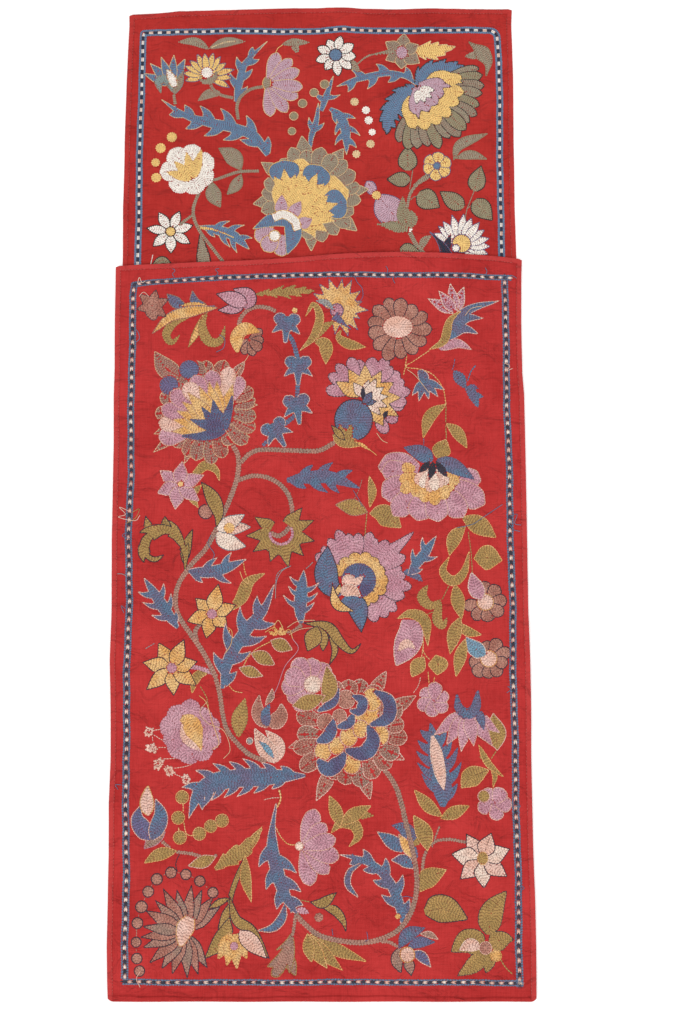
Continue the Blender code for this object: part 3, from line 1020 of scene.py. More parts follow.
def sewFaceCentre():
    # the great palmette: scales of blue and gold in a ring of taupe lobes, on a white collar and a blue calyx
    x, y, heading = (-14, 332, 46)
    # collar, and the mauve points that rise from it
    blade([-54, 306, -42, 310, -30, 303, -26, 292], (4.6, 5, 5, 4.6), white, gold)
    for tip, root in (((-44, 334), (-45, 309)), ((-22, 326), (-34, 307)), ((-9, 305), (-25, 297)),
        ((-32, 320), (-39, 308))):
        blade(between(root, tip), scaled(heartForm, 7.4), mauve,
            gold, rows="echo")
    disc(-52, 285, 6.4, white, gold)
    joined([([-30, 300, -52, 304, -77, 293], scaled((0.6, 0.9, 1, 0.85, 0.45, 0), 7.6)),
        ([-34, 305, -31, 286, -38, 263], scaled((0.7, 0.95, 1, 0.8, 0.45, 0), 9.4))], blue, gold)
    fan(-46, 292, 214, 76, 3, 6, 31, 9.5, mauve, gold, uneven=0.05)
    # scales, each a blue lobe with gold flames before it
    for sx, sy, turn in ((-41, 357, -6), (-7, 352, 24), (13, 321, 74)):
        rootX, rootY = headed(sx, sy, turn + 180, 18)
        joined([([(rootX, rootY), headed(rootX, rootY, turn + a, reach * 0.6),
            headed(rootX, rootY, turn + a * 0.85, reach)], scaled((0.9, 1, 0.92, 0.62, 0.32, 0),
            6.4)) for a, reach in ((-42, 21), (0, 25), (42, 21))], gold)
        fan(rootX, rootY, turn, 0.2, 1, 4, 35, 17.5, blue, gold, uneven=0)
    # the gold body, with rounded lobes between the scales and flames low on its right
    ball = (0.5, 0.86, 1, 0.86, 0.5)
    body = [([-36, 306, -20, 328, 2, 352], (17, 32, 36, 34, 26, 8))]
    body += [([lx - 7, ly - 7, lx, ly, lx + 7, ly + 7], scaled(ball, 12.5)) for lx,
        ly in ((-22, 364), (13, 344), (20, 336))]
    body += [([-24, 308, x1, y1, x2, y2], (8, 11, 10, 7, 3.6, 0)) for x1, y1, x2,
        y2 in ((-4, 306, 16, 302), (-2, 314, 21, 313), (-8, 300, 7, 290), (-14, 297, -6, 283))]
    joined(body, gold, cream, rows="along")
    # lobes round it
    fan(x + 2, y + 2, heading - 8, 292, 18, 32, 56.5, 8.8, [taupe, brown, taupe], cream,
        (0.75, 0.8, 0.86, 0.94, 1, 0.98, 0.84, 0.56, 0), uneven=0.03)
    fan(x + 2, y + 2, heading - 8, 280, 7, 30, 67, 8.6, taupe, cream, (0.9, 1, 1, 0.95, 0.8, 0.42, 0),
        uneven=0.03)


def sewFaceLeft():
    # white flower with a gold flame heart
    mass(-145, 352, -30, 96, 4, 0, 31, 5.4, gold, None, heartForm, uneven=0.08)
    fan(-149, 363, -42, 318, 7, 6, 32, 11.6, white, None, uneven=0.06)
    # its stem and the leaves on it
    leaf([-90, 362, -100, 378, -116, 388], 9.4, taupe, olive, vein=olive)
    leaf([-90, 357, -96, 344, -106, 333], 6.4, taupe, olive)
    leaf([-123, 348, -121, 333, -113, 318], 8.4, taupe, olive, vein=olive)
    stem([-70, 361, -92, 360, -108, 355, -122, 350.5, -138, 354], 3.2, taupe)
    stem([-123, 349, -136, 337, -143.5, 318, -142, 303, -134, 287, -122, 271, -106, 250], 3.6, taupe)
    stem([-143, 311, -150, 305, -159, 298], 2.8, taupe)
    blade([-135, 288, -133, 268, -130, 248], (0.8, 4, 7.2, 7.8), taupe, black)
    # white star with a gold heart
    daisy(-169, 290, 26.5, 7, white, black, gold, 5.6, half=5.6, form=(0.4, 0.85, 1, 0.9, 0.5, 0),
        heading=22, uneven=0.03)
    leaf([-190, 248, -178, 257, -166, 250], 4, olive, black)
    sewLine(white, smoothPath([-191, 250, -189.5, 258, -188.5, 263]), "edge")


def sewFaceRight():
    # round leaves with black outlines. Columns: stalk end, tip, half width
    for root, tip, half in (((98, 362), (98, 391), 10.6), ((100, 351), (74, 351), 8.6),
        ((110, 334), (134, 318), 12), ((160, 318), (134, 337), 9.6), ((173, 338), (181, 367), 9.6),
        ((173, 326), (193, 303), 10.8), ((89, 268), (112, 266), 9)):
        leaf([root, ((root[0] + tip[0]) / 2, (root[1] + tip[1]) / 2), tip], half, olive, black,
            form=(0.35, 0.88, 1, 0.95, 0.72, 0.36, 0))
    daisy(131, 367, 16.5, 6, gold, purple, blue, 4.2, half=7.2, heading=8, uneven=0.03)
    stem([97, 318, 101, 335, 110, 347, 122, 356], 3.6, taupe, taper=1.6)
    for path in ([104, 364, 101, 345, 98, 330], [109, 332, 103, 329, 98, 322],
        [162, 298, 164, 314, 173, 338], [165, 317, 169, 320, 173, 320]):
        sewLine(taupe, smoothPath(path), "edge", width=1.5)
    leaves(taupe, olive, [150, 374, 158, 392, 189, 405], 5.6, [152, 376, 170, 380, 188, 375], 5.2)
    # mauve pomegranate bud in an olive calyx
    disc(62.5, 332.5, 5.2, gold)
    leaf([59, 335, 56, 342, 52, 349], 6, mauve, purple, form=(0.7, 0.9, 1, 1, 0.8, 0))
    blade([98, 296, 93, 311, 92, 333], (3, 8, 7, 3.4, 0), olive, None, rows="echo")
    blade([99, 295, 104, 304, 101, 316], (3.4, 4.6, 4, 0), olive)
    blade([98, 293, 84, 296, 61, 299], (3.6, 6.4, 5.6, 2.6, 0), olive)
    blade([87, 303, 75, 318, 64, 334], (9, 15, 16.5, 15, 9.5, 0), mauve, purple, rows="echo")
    disc(98, 293.5, 5.2, white)
    stem([100, 289, 107, 275, 117, 262, 121, 250], 4.6, taupe)
    leaf([112, 268, 116, 279, 125, 286], 4.4, taupe)
    # white half daisy with a gold heart and a navy leaf
    disc(151.5, 270.5, 4.4, white, purple)
    disc(158, 276, 10.6, gold, purple)
    blade([143, 250, 139, 268, 131, 281, 122, 290], (5, 6.6, 4.2, 1.6, 0), navy, purple)
    leaf([140, 262, 142, 274, 146, 287], 4.4, navy, None, heartForm)
    fan(157, 274, 30, 196, 12, 9, 34, 4.9, white, purple, (0.7, 0.9, 1, 1, 0.8, 0.42, 0), uneven=0.05)
    leaf([170, 258, 180, 256, 192, 250], 5, white, purple)


def sewFace():
    needle["layer"] = "face"
    sewFaceBorder()
    sewFaceStars()
    sewFaceFarRight()
    sewFacePalmette()
    sewFaceCentre()
    sewFaceLeft()
    sewFaceRight()
    sewFaceBlueLeaves()


hemStitch = {"pitch": 3.4, "points": 5, "width": 0.55, "skipped": 0.12, "nearFace": 262, "farFace": 546,
             "nearReverse": -548, "farReverse": 252}


def sewHems():
    # the hems' small stitches, a gap after each and a few missing, in the crease they make
    inset = cloth["hemWidth"]
    pitch = hemStitch["pitch"]
    spacing = 0.5
    for layer, sides, end in (("face", underSides, underEnd), ("reverse", upperSides, upperEnd)):
        nearY, farY = (hemStitch[place + layer.capitalize()] for place in ("near", "far"))
        needle["layer"] = layer
        y = np.linspace(nearY, farY, 200)
        left, right = sideX(sides, y)
        share = np.linspace(0.016, 0.984, 300)
        endLeft, endRight = sideX(sides, np.full(300, farY))
        far = np.stack([endLeft + (endRight - endLeft) * share,
                        np.interp(share, end[:, 0], end[:, 1]) - inset], 1)
        for line in (np.stack([left + inset, y], 1), np.stack([right - inset, y], 1), far):
            path = evenly(line, step=spacing)
            n = max(1, int(spacing * len(path) / pitch))
            for i in range(n):
                at = int(i * pitch / spacing)
                piece = path[at:at + hemStitch["points"]]
                if len(piece) > 3 and draw.random() > hemStitch["skipped"]:
                    sewLine(rose, piece, "edge", width=hemStitch["width"], length=2.0)


def sewReverseBorder():
    border([-207.5, 229, -209.8, 215, -210, 150, -209.5, 60, -209, 10, -210, -50, -208.5, -130, -209.5,
        -210, -209, -300, -207, -420, -206.5, -532], reverseSides)
    border([-210, 227.5, -194, 229.8, -170, 232.2, -130, 234.6, -80, 236.6, -20, 239.2, 50, 239.2, 110,
        239.2, 152, 238.4, 180, 236.6, 214, 235.6], reverseEnds)
    border([206.4, 238, 206, 175, 206.2, 118, 207.5, 40, 208.3, -40, 209.5, -130, 209.6, -230, 210.5, -330,
        211.5, -440, 212, -540], reverseSides)
    border([-209, -535, -100, -536, 0, -535.5, 100, -535.5, 215, -536.5], reverseEnds)


def sewReverseFarLeft():
    # taupe tulip in the corner
    mass(-188, 203, 12, 230, 5, 1, 18.5, 5.2, brown, black, pointedTip,
        others=[([-188, 208, -188, 198, -186, 187], (4, 8, 7, 2))])
    # spray: gold and blue leaves over two olive curls
    laid(blue, 1.7, [-118, 203, -140, 202.5, -160, 199, -176, 190])
    leaf([-116, 201, -145, 197, -168, 190, -188, 171], 6.2, gold, brown, form=(0.1, 0.6, 1, 1, 0.8, 0.5, 0))
    leaf([-124, 203, -142, 205, -160, 203], 2.6, gold)
    leaves(blue, taupe, [-150, 205, -160, 206, -172, 217], 6.4, [-126, 203, -140, 207, -143.5, 221], 5.4)
    leaves(olive, None, [-146, 190, -163, 184, -172, 171, -166, 161, -155, 172], 4.8,
        [-126, 198, -132, 180, -125, 163, -112, 163, -106, 183], 5.6)
    leaf([-147, 156, -138, 174, -130, 196], 3.6, gold, olive)
    # pink tulip
    hearts(mauve, black, [-83, 204, -99, 212, -117, 217], 8.6, [-84, 200, -82, 214, -98, 223], 9.5,
        [-85, 206, -98, 200, -115, 198], 6.4)
    jagged([-73, 217, -44, 219, -22, 220, -5, 220], 9, olive, None, teeth=5, depth=0.6,
        form=(0.3, 0.5, 0.8, 1, 0.8, 0.5, 0))
    # hanging flower on its hook
    blade([-93, 150, -93, 168, -84, 177, -68, 173], (1, 6.5, 7, 6, 0), gold, gold)
    fan(-79, 163, 148, 205, 6, 1, 17.5, 5.4, brown, black)
    stem([-91, 177, -90, 187, -83, 197, -72, 202, -59, 201, -50, 197], 4, taupe)
    # column of blue buds, each two lobes over a pair of horns
    ball = (0.45, 0.84, 1, 0.84, 0.45)
    for x, y, turn in ((-38, 181, 4), (-25, 132, 0), (-26, 88, -8), (-49, 60, -30)):
        parts = [([headed(x, y, turn, 10), headed(x, y, turn, -2), headed(x, y, turn, -20)],
            (3, 5.4, 3.4, 1.8))]
        for side in (-1, 1):
            lobe = headed(x, y, turn + side * 48, 10.5)
            parts.append(([headed(*lobe, turn, -6.4), lobe, headed(*lobe, turn, 6.4)], scaled(ball, 7.2)))
            parts.append(([headed(x, y, turn + side * a, r) for a, r in ((60, 1), (110, 8.5), (122, 19))],
                scaled((0.9, 1, 0.7, 0.36, 0), 4.6)))
        joined(parts, blue, peach)
    stem([-38, 172, -31, 162, -25, 142], 4.8, blue)
    stem([-25, 122, -26, 96], 4.4, blue)
    stem([-28, 78, -40, 68], 4.6, blue)
    stem([-54, 54, -64, 44], 3.6, blue)
    disc(-29, 198, 3.6, gold)


def sewReverseFarRight():
    # olive leaves by the column
    leaves(olive, gold, [-23, 152, -8, 168, -1, 190, -8, 205, -17, 191], 4.6, [-8, 163, 5, 158, 6, 136],
        7.4)
    leaf([-6, 164, 3, 178, 17, 186], 4.6, olive)
    leaf([50, 156, 32, 159, 20, 167, 23, 176], 5.4, olive, gold)
    leaf([-6, 209, 6, 207, 16, 198], 3.6, teal)
    # yellow star flower
    blade([15, 192, 24, 184, 34, 176], (5, 3, 1, 0), purple, purple)
    disc(18, 198, 7.2, mauve, purple, squeeze=1.1)
    mass(20, 202, 62, 252, 12, 4, 32, 6.4, gold, purple, (0.8, 1, 1, 0.8, 0.45, 0.2, 0), uneven=0.1)
    # brown daisy with a pink heart
    disc(86, 179, 16.5, peach, None, squeeze=0.74)
    fan(86, 177, 8, 360, 13, 12, 37, 7.8, brown, black, uneven=0.04)
    # pale outlined flower over a feather
    fan(150, 196, -22, 84, 4, 1, 31, 6.6, mauve, white, pointedTip, sparse=True)
    leaf([121, 153, 137, 163, 144, 186, 157, 198], 4.6, olive, gold)
    feather = (0.6, 0.95, 1, 0.8, 0.45, 0)
    joined([([140, 168, 160, 188, 181, 189], scaled(feather, 6.4)), ([140, 182, 168, 200, 199, 209],
        scaled(feather, 4.8)), ([140, 166, 158, 177, 176, 171], scaled(feather, 5.6))], blue, peach)
    joined([([132, 154, 142, 166, 150, 190], scaled(feather, 6)),
        ([132, 156, 152, 160, 168, 153], scaled(feather, 5.8))], mauve, peach)
    laid(gold, 1.5, [121, 152, 104, 140, 94, 133, 112, 130, 126, 123, 136, 108, 139, 90],
        [94, 134, 96, 146], [94, 133, 92, 124])
    laid(purple, 1.3, [146, 129, 148, 135, 149, 142])
    laid(blue, 2, [163, 117, 167, 128, 172, 134])
    # small blue leaves
    mass(115, 119, 168, 100, 5, 1, 25, 3.9, blue, peach, pointedTip,
        others=[([110, 129, 114, 122, 117, 111], (2.4, 5.4, 5, 2))])
    leaves(blue, None, [147, 129, 155, 119, 161, 108], 6.4, [160, 112, 168, 103, 175, 86], 5.4,
        [163, 103, 172, 101, 181, 99], 4)
    leaf([160, 106, 168, 110, 176, 108], 3.6, purple)
    disc(160, 109, 2.4, gold)


def sewReversePalmette():
    # gold flames over a blue cup, in rings of mauve and of brown lobes outlined in cream
    x, y = (-112, 63)
    for tip in ((-145, 74), (-132, 88), (-119, 96)):
        leaf([(x + 4, y + 4), ((x + tip[0]) / 2, (y + tip[1]) / 2), tip], 7.4, navy, blue,
            form=(0.9, 1, 0.9, 0.6, 0.3, 0))
    blade([-153, 55, -128, 55, -110, 63, -102, 82, -98, 100], (0.8, 4.4, 6, 4.4, 0.6), navy, blue)
    fan(x, y, -40, 106, 9, 10, 53, 7.4, gold, cream, pointedTip, uneven=0.04)
    fan(x, y, -38, 118, 9, 36, 68, 9.4, [mauve, peach, mauve], peach, uneven=0.04)
    disc(-168, 112, 10, purple, blue)
    disc(-146, 130, 10.5, purple, blue)
    leaf([-156, 122, -172, 132, -185, 151], 11, taupe, cream, form=heartForm, sparse=True)
    leaf([-100, 118, -91, 130, -84, 140], 5.2, taupe, peach, sparse=True)
    fan(-126, 84, -45, 360, 23, 30, 55, 8.4, [taupe, brown, taupe], cream, uneven=0.05, sparse=True)
    for tip in ((-70, 90), (-78, 53), (-115, 28), (-150, 24), (-184, 37), (-184, 57)):
        root = (-126 + (tip[0] + 126) * 0.4, 84 + (tip[1] - 84) * 0.4)
        leaf(between(root, tip), 6.2, taupe, cream,
            form=heartForm, sparse=True)


def sewReverseCrown():
    # mauve crown with gold and white flames, above a blue pomegranate
    leaf([36, 50, 47, 44, 58, 37], 1.8, gold)
    leaf([27, 50, 20, 58, 12, 67], 4, olive, black)
    leaves(olive, None, [29, 51, 24, 60, 21, 68], 3.4, [32, 51, 32, 60, 34, 68], 3.4)
    blade([16, 58, 24, 50, 44, 45], (3, 7, 5.5, 1.5), olive, gold)
    leaves(blue, black, [46, 92, 52, 97, 57, 105], 4.6, [50, 90, 56, 93, 62, 94], 3.4)
    disc(36.5, 73, 21, blue, black, squeeze=1.12)
    for points in ([48, 94, 47, 104, 47, 112], [70, 74, 72, 80, 75, 84]):
        leaf(points, 2.8, black)
    mass(50, 97, 84, 108, 5, 1, 26, 5.6, white, black, pointedTip)
    mass(48, 99, -8, 50, 2, 1, 21, 5, white, black, pointedTip)
    mass(50, 97, 44, 206, 8, 8, 38, 7.6, gold, black, pointedTip, uneven=0.08)
    for start, width, count in ((-50, 56, 4), (18, 50, 4), (76, 46, 4), (130, 44, 3)):
        mass(50, 99, start, width, count, 22, 47, 6.6, mauve, black, uneven=0.06)
    stem([-88, 25, -78, 35, -65, 39.5, -40, 39, -5, 38, 8, 43, 17, 49], 4.8, taupe)


def sewReverseMauve():
    # great mauve flower hanging from a dark heart
    leaves(black, None, [121, 27, 116, 21, 108, 13], 3.6, [124, 27, 123, 17, 120, 5], 4.2,
        [127, 27, 133, 18, 140, 8], 4.2)
    hearts(blue, purple, [123, 27, 110, 36, 92, 42], 8.6, [128, 27, 146, 21, 170, 6], 8.2)
    fan(123, 18, 180, 96, 6, 2, 25, 6.4, [white, peach])
    fan(122, 17, 184, 176, 10, 18, 36, 6.8, gold)
    fan(122, 14, 184, 172, 8, 22, 60, 12.4, mauve, peach, (0.5, 0.7, 0.9, 1, 1, 0.8, 0))
    leaf([107, 15, 88, 20, 63, 20], 16, mauve, peach, form=(0.5, 0.8, 1, 1, 0.8, 0))
    leaves(olive, gold, [132, 27, 134, 40, 139, 51], 10, [139, 91, 121, 77, 113, 52], 6.4,
        [139, 69, 151, 59, 162, 41], 6.4, [54, 9, 57, -8, 54, -26], 4.4)
    leaf([52, -31, 35, -25, 16, -22], 9, olive, brown)
    leaf([54, -32, 69, -33, 89, -48], 11.5, olive, gold)
    laid(olive, 1.7, [139, 92, 138.5, 70, 139, 52])
    laid(blue, 1.3, [114, 52, 114, 42])
    laid(olive, 1.6, [51, -32, 49.5, -50, 49, -60])
    laid(taupe, 1.2, [46, 6, 42, -6, 36, -18])


def sewReverseLeftMiddle():
    # mauve star flower
    disc(-154, 1, 3.4, gold)
    fan(-156, 0, 8, 360, 6, 2, 28, 8, mauve, peach, pointedTip)
    # crooks and pods of olive
    leaf([-146, 6, -136, 14, -126, 22, -115, 16, -111, 4], 5, olive, gold)
    leaf([-131, 3, -119, -14, -112, -32, -114, -48], 7.8, olive, black)
    leaf([-131, 0, -141, -12, -134, -26], 4.4, olive, gold)
    disc(-126, -30, 8, brown, black)
    blade([-148, -94, -150, -72, -166, -52, -186, -58, -191, -74, -182, -82, -171, -78],
        (2.5, 6, 9, 11, 10, 6.5, 0), olive, black, teeth=(5, 0.55, 0), lean=0.5, sides=(0.55, 1.2))
    leaf([-148, -92, -147, -70, -140, -49], 5.6, olive, black)
    hearts(olive, black, [-186, -58, -189, -46, -192, -35], 5, [-168, -52, -170, -44, -171, -35], 5)
    # white and pink tulip
    disc(-100, -48, 6, gold)
    leaf([-113, -50, -98, -42, -83, -33], 8, white, teal, heartForm)
    leaf([-104, -52, -92, -48, -76, -47], 6.4, peach, teal, heartForm)
    leaf([-113, -54, -100, -64, -81, -69], 9.4, white, teal, heartForm)
    # crook with a ring of points
    hook = [headed(-43, -54, a, 12.5) for a in range(60, 300, 24)]
    stem(hook, 2.4, mauve)
    ring = [headed(-43, -54, a, 19) for a in range(36, 316, 24)]
    mass(-43, -54, 168, 262, 9, 12, 37, 7.4, olive, black, (0.9, 1, 0.9, 0.6, 0.3, 0), uneven=0.06,
        others=[(ring, (3, 5, 5.5, 5.5, 5, 3))], rows="along")
    # blue leaves
    thorned([-37, 5, -14, 8, 12, 8, 44, -4], 7.4, 25, blue, purple, thorns=3, last=0.68, base=0.62)
    thorned([-144, -96, -122, -97, -102, -92, -81, -83], 7, 24, blue, peach, thorns=2, last=0.62, base=0.5)
    thorned([-155, -158, -167, -142, -178, -125, -193, -103], 6.8, 24, blue, peach, thorns=3, last=0.68,
        base=0.58)
    thorned([-106, -224, -99, -192, -80, -160, -62, -139, -50, -110], 7.4, 32, blue, peach, thorns=4,
        base=0.56, first=0.08, last=0.72)
    thorned([-21, -153, -22, -136, -20, -115, -18, -94], 7.6, 25, blue, peach, thorns=3, first=0.22,
        last=0.7, base=0.6, lean=26)
    # the long stem
    stem([-97, 44, -91, 33, -91, 12, -98, -12, -110, -40, -124, -69, -142, -90, -155, -111, -158, -131,
        -152, -149, -138, -169, -126, -187, -113, -212], 5.2, taupe)
    stem([-91, 5, -75, 10, -58, 8, -44, 0, -35, -12, -31, -30, -35, -48, -45, -57, -54, -54], 4.6, taupe)
    # gold stars
    for x, y, turn, radius, count in ((-118, -143, 12, 28, 6), (-161, -202, 22, 32, 7)):
        disc(x, y, 5.6, mauve)
        fan(x, y, turn, 360, count, 3, radius, 8.2, gold, black, pointedTip, uneven=0.08)
    stem([-129, -152, -136, -162, -134, -172], 4.2, taupe)
    stem([-150, -201, -132, -202, -116, -208], 4.2, mauve)
    leaf([-100, -141, -86, -125, -78, -108, -60, -98], 6.8, olive, gold)
    leaves(olive, peach, [-54, -172, -43, -177, -30, -182], 7.4, [-75, -186, -62, -191, -49, -199], 7.4,
        [-88, -202, -76, -206, -62, -211], 6)
    leaves(olive, black, [-3, -156, -8, -170, -14, -184], 9.4, [-1, -157, 3, -170, 3, -184], 6,
        [-18, -153, 8, -157, 21, -173, 34, -184, 45, -175], 5.6, [9, -163, 16, -182, 10, -199], 3.4)
    fan(-46, -167, 0, 130, 4, 2, 13, 2.2, gold, None, pointedTip)
    laid(gold, 1.6, [-84, -84, -83, -94, -79, -106], [-52, -172, -74, -185, -86, -205])
    laid(gold, 1.4, [-99, -160, -97, -170])
    laid(teal, 1.2, [-49, -118, -47, -99, -34, -90], [-18, -95, -12, -90, -8, -86],
        [-190, -181, -185, -178, -180, -175])
    stem([-20, -155, -32, -162, -45, -164], 4, taupe, taper=0.5)


def sewReverseRightMiddle():
    # round flower: pink heart, blue ring, gold scallops, mauve lobes
    leaf([22, -119, 34, -117, 44, -124], 6.6, peach, white, heartForm)
    disc(31, -107, 7.2, peach, white)
    leaf([36, -112, 41, -107, 48, -100], 4.4, peach, purple, heartForm)
    leaf([36, -140, 18, -132, 13, -110], 5.4, gold, black, form=(0.1, 0.6, 1, 0.9, 0.4, 0))
    leaf([16, -124, 20, -116, 22, -109], 3, gold, black)
    disc(42, -106, 18.5, navy, purple)
    leaf([24, -127, 40, -135, 45, -163], 11, blue, black, heartForm)
    leaf([20, -124, 7, -104, 8, -68], 12.5, blue, black, form=(0.3, 0.8, 1, 0.95, 0.55, 0))
    mass(42, -106, 52, 226, 10, 16, 31.5, 6.8, gold, black, uneven=0.03)
    point = ([52, -92, 80, -72, 103, -52], (8, 9, 9, 7.5, 5, 3, 0))
    for start, width, count, others in ((-30, 64, 6, ()), (38, 50, 5, [point]), (92, 38, 4, ()),
        (136, 40, 4, ())):
        mass(42, -105, start, width, count, 24, 54, 6.3, mauve, black, uneven=0.07, others=others)
    thorned([97, -100, 105, -88, 115, -75, 127, -57], 6, 20, blue, peach, thorns=2, last=0.62, base=0.5)
    leaf([89, -98, 101, -98, 112, -108], 5, blue)
    # mauve bell under an olive hook
    leaf([84, -148, 99, -143, 114, -151, 117, -178], 6, olive, gold)
    leaf([84, -184, 94, -175, 104, -182], 4.6, peach)
    blade([98, -150, 97, -170, 82, -200], (9, 13.5, 14, 9.5, 0), mauve, white, rows="echo")
    # chain of olive leaves
    leaves(olive, gold, [159, -46, 147, -59, 141, -79], 7.4, [155, -36, 174, -45, 193, -59], 10,
        [141, -80, 134, -96, 145, -107, 157, -97, 163, -74], 5.2, [168, -82, 182, -81, 199, -84], 13.5,
        [147, -110, 150, -128, 154, -149], 7.2, [153, -146, 146, -164, 141, -187], 7.2,
        [149, -152, 160, -162, 176, -166], 5, [158, -170, 152, -190, 147, -212], 6.4)
    leaves(olive, None, [118, -110, 111, -124, 121, -134, 133, -126], 5.8,
        [132, -128, 127, -147, 133, -156, 139, -145], 5.4)
    leaves(olive, gold, [126, -188, 128, -199, 127, -210], 10.5, [113, -190, 106, -200, 99, -212], 8)
    laid(olive, 1.6, [142, -109, 137, -119, 133, -127])
    laid(olive, 1.3, [128, -138, 120, -142, 113, -145])
    laid(olive, 1.5, [162, -52, 165, -75, 166, -98])
    laid(gold, 1.4, [112, -172, 113, -186, 126, -200])
    laid(gold, 1.3, [112, -178, 110, -190])
    # brown flowers with pale hearts, each with one coloured leaf
    for x, y, thread, tip, count in ((180, -130, mauve, (165, -97), 7), (183, -192, sky, (158, -168), 8)):
        leaf([(x - 4, y + 4), ((x + tip[0]) / 2 - 3, (y + tip[1]) / 2), tip], 8.4, thread, white, heartForm)
        disc(x, y, 9, peach, gold)
        fan(x, y, 126, 262, count, 6, 23.5, 7.2, brown, black)


def sewReverseNearLeft():
    # the great serrated leaf
    thorned([-16, -318, -45, -319, -88, -321, -115, -326, -131, -338, -141, -364], 11, 29, blue, peach,
        thorns=7, base=0.7, form=(0.15, 0.7, 1, 1, 1, 0.6, 0))
    # mauve flower with a gold heart, and a string of small bursts beside it
    blade([-150, -256, -140, -262, -130, -284, -128, -292], (3, 9, 9, 4, 0), gold, gold)
    leaf([-150, -262, -143, -276, -130, -292], 7.4, peach)
    fan(-140, -272, 0, 360, 10, 8, 33, 11.5, mauve, None, uneven=0.09)
    for x, y in ((-185, -271), (-181, -289), (-174, -305), (-162, -314), (-144, -322)):
        fan(x, y, 20, 360, 9, 0.4, 6.2, 1.4, peach, None, uneven=0.2, rows="along")
    laid(peach, 1.2, [-181, -270, -171, -268, -162, -266], [-180, -274, -170, -280, -158, -284],
        [-177, -288, -166, -288, -158, -291], [-181, -276, -180, -284],
        [-169, -300, -160, -300, -153, -299], [-169, -303, -166, -310], [-157, -316, -150, -319],
        [-157, -310, -148, -309, -138, -306])
    laid(olive, 1.6, [-130, -222, -123, -234, -120, -250])
    laid(gold, 1.3, [-99, -221, -93, -227, -84, -229])
    leaf([-119, -206, -131, -209, -136, -216, -139, -230], 4.8, olive, gold)
    leaf([-88, -278, -87, -257, -81, -234], 8.8, olive)
    stem([-114, -211, -109, -228, -106, -248, -101, -268, -88, -285, -75, -296, -58, -303], 4.6, taupe)
    # tulip of brown and blue, and a pale bud
    leaf([-57, -265, -59, -252, -54, -240], 5.4, blue, None, heartForm)
    hearts(brown, peach, [-57, -266, -67, -250, -66, -231], 7.4, [-54, -266, -43, -254, -42, -240], 8.6)
    leaf([-59, -242, -53, -233, -52, -224], 3.4, taupe, peach)
    leaf([-49, -300, -58, -288, -67, -280], 3.4, sky)
    hearts(peach, white, [-47, -303, -60, -287, -71, -267], 9, [-48, -303, -46, -285, -59, -269], 7.4)
    disc(-76, -281, 3.6, teal, white)
    # rose with a pale heart and olive sepals
    leaves(olive, peach, [-30, -243, -12, -239, 6, -232], 8.6, [2, -241, 10, -224, 7, -199], 8.8)
    disc(-8, -220, 9.5, white, peach)
    fan(-11, -222, -42, 226, 8, 7, 31, 10.4, mauve, peach)
    # blue bud with a pale flame, and olive dots
    leaf([-184, -360, -186, -346, -185, -328], 7.4, peach, gold, heartForm)
    leaf([-180, -386, -171, -362, -177, -342], 8.6, blue, peach, heartForm)
    leaf([-181, -386, -195, -366, -193, -350], 9.4, purple, peach, heartForm)
    disc(-173, -366, 5.4, taupe, peach)
    leaf([-171, -368, -178, -384, -188, -396], 9, taupe, mauve, heartForm)
    dots([-148, -341, -152, -363, -150, -384, -129, -380, -117, -372, -105, -366], 6.8, olive, gold)
    laid(gold, 1.5, [-147, -348, -146, -366, -143, -380, -136, -382], [-123, -377, -112, -370],
        [-152, -369, -151, -377])
    laid(gold, 2.6, [-45, -330, -42, -342, -46, -352])
    laid(peach, 1.2, [-60, -344, -52, -342, -44, -342])
    laid(gold, 1.5, [-62, -372, -68, -382, -73, -390], [-48, -372, -42, -383, -34, -391, -25, -392])


def sewReverseHeart():
    # the middle palmette: gold scales between dark crescents, ringed with brown lobes
    for points, half in (([59, -227, 74, -238, 73, -256, 54, -264], 7),
        ([35, -232, 46, -238, 42, -249, 32, -248], 5.4), ([20, -224, 14, -239, -3, -249], 4.6),
        ([52, -264, 57, -281, 47, -294, 27, -291], 8), ([27, -294, 19, -305, 8, -311, -3, -301], 8),
        ([36, -251, 31, -262, 18, -266], 5), ([15, -258, 9, -275, -4, -282], 6.4)):
        blade(points, (half * 0.3, half, half, half * 0.3), navy, peach)
    for x, y, radius in ((56, -236, 11), (44, -268, 8.5), (31, -276, 9.5), (18, -286, 8.5), (65, -275, 9.5),
        (34, -305, 10), (3, -292, 9)):
        disc(x, y, radius, gold, peach, squeeze=1.15)
    mass(50, -252, 60, 360, 7, 1, 16, 5.6, gold, gold, pointedTip)
    for x, y, radius in ((28, -236, 10), (6, -261, 9.5), (21, -254, 7.5)):
        disc(x, y, radius, brown, peach)
    fan(33, -272, 30, 360, 21, 34, 61, 9.4, [brown, brown, taupe], peach, sparse=True)
    for tip in ((104, -232), (91, -301), (54, -344), (-34, -288), (-4, -345), (72, -205)):
        root = (33 + (tip[0] - 33) * 0.55, -272 + (tip[1] + 272) * 0.55)
        leaf(between(root, tip), 7.4, brown, peach,
            form=heartForm, sparse=True)
    # the stem from it, round to the near edge
    stem([60, -303, 72, -315, 82, -331, 88, -350, 92, -368, 98, -392, 103, -420, 103, -440, 98, -460, 88,
        -477, 72, -488, 50, -494, 25, -493, 0, -487, -16, -475, -26, -464], 5.2, taupe)


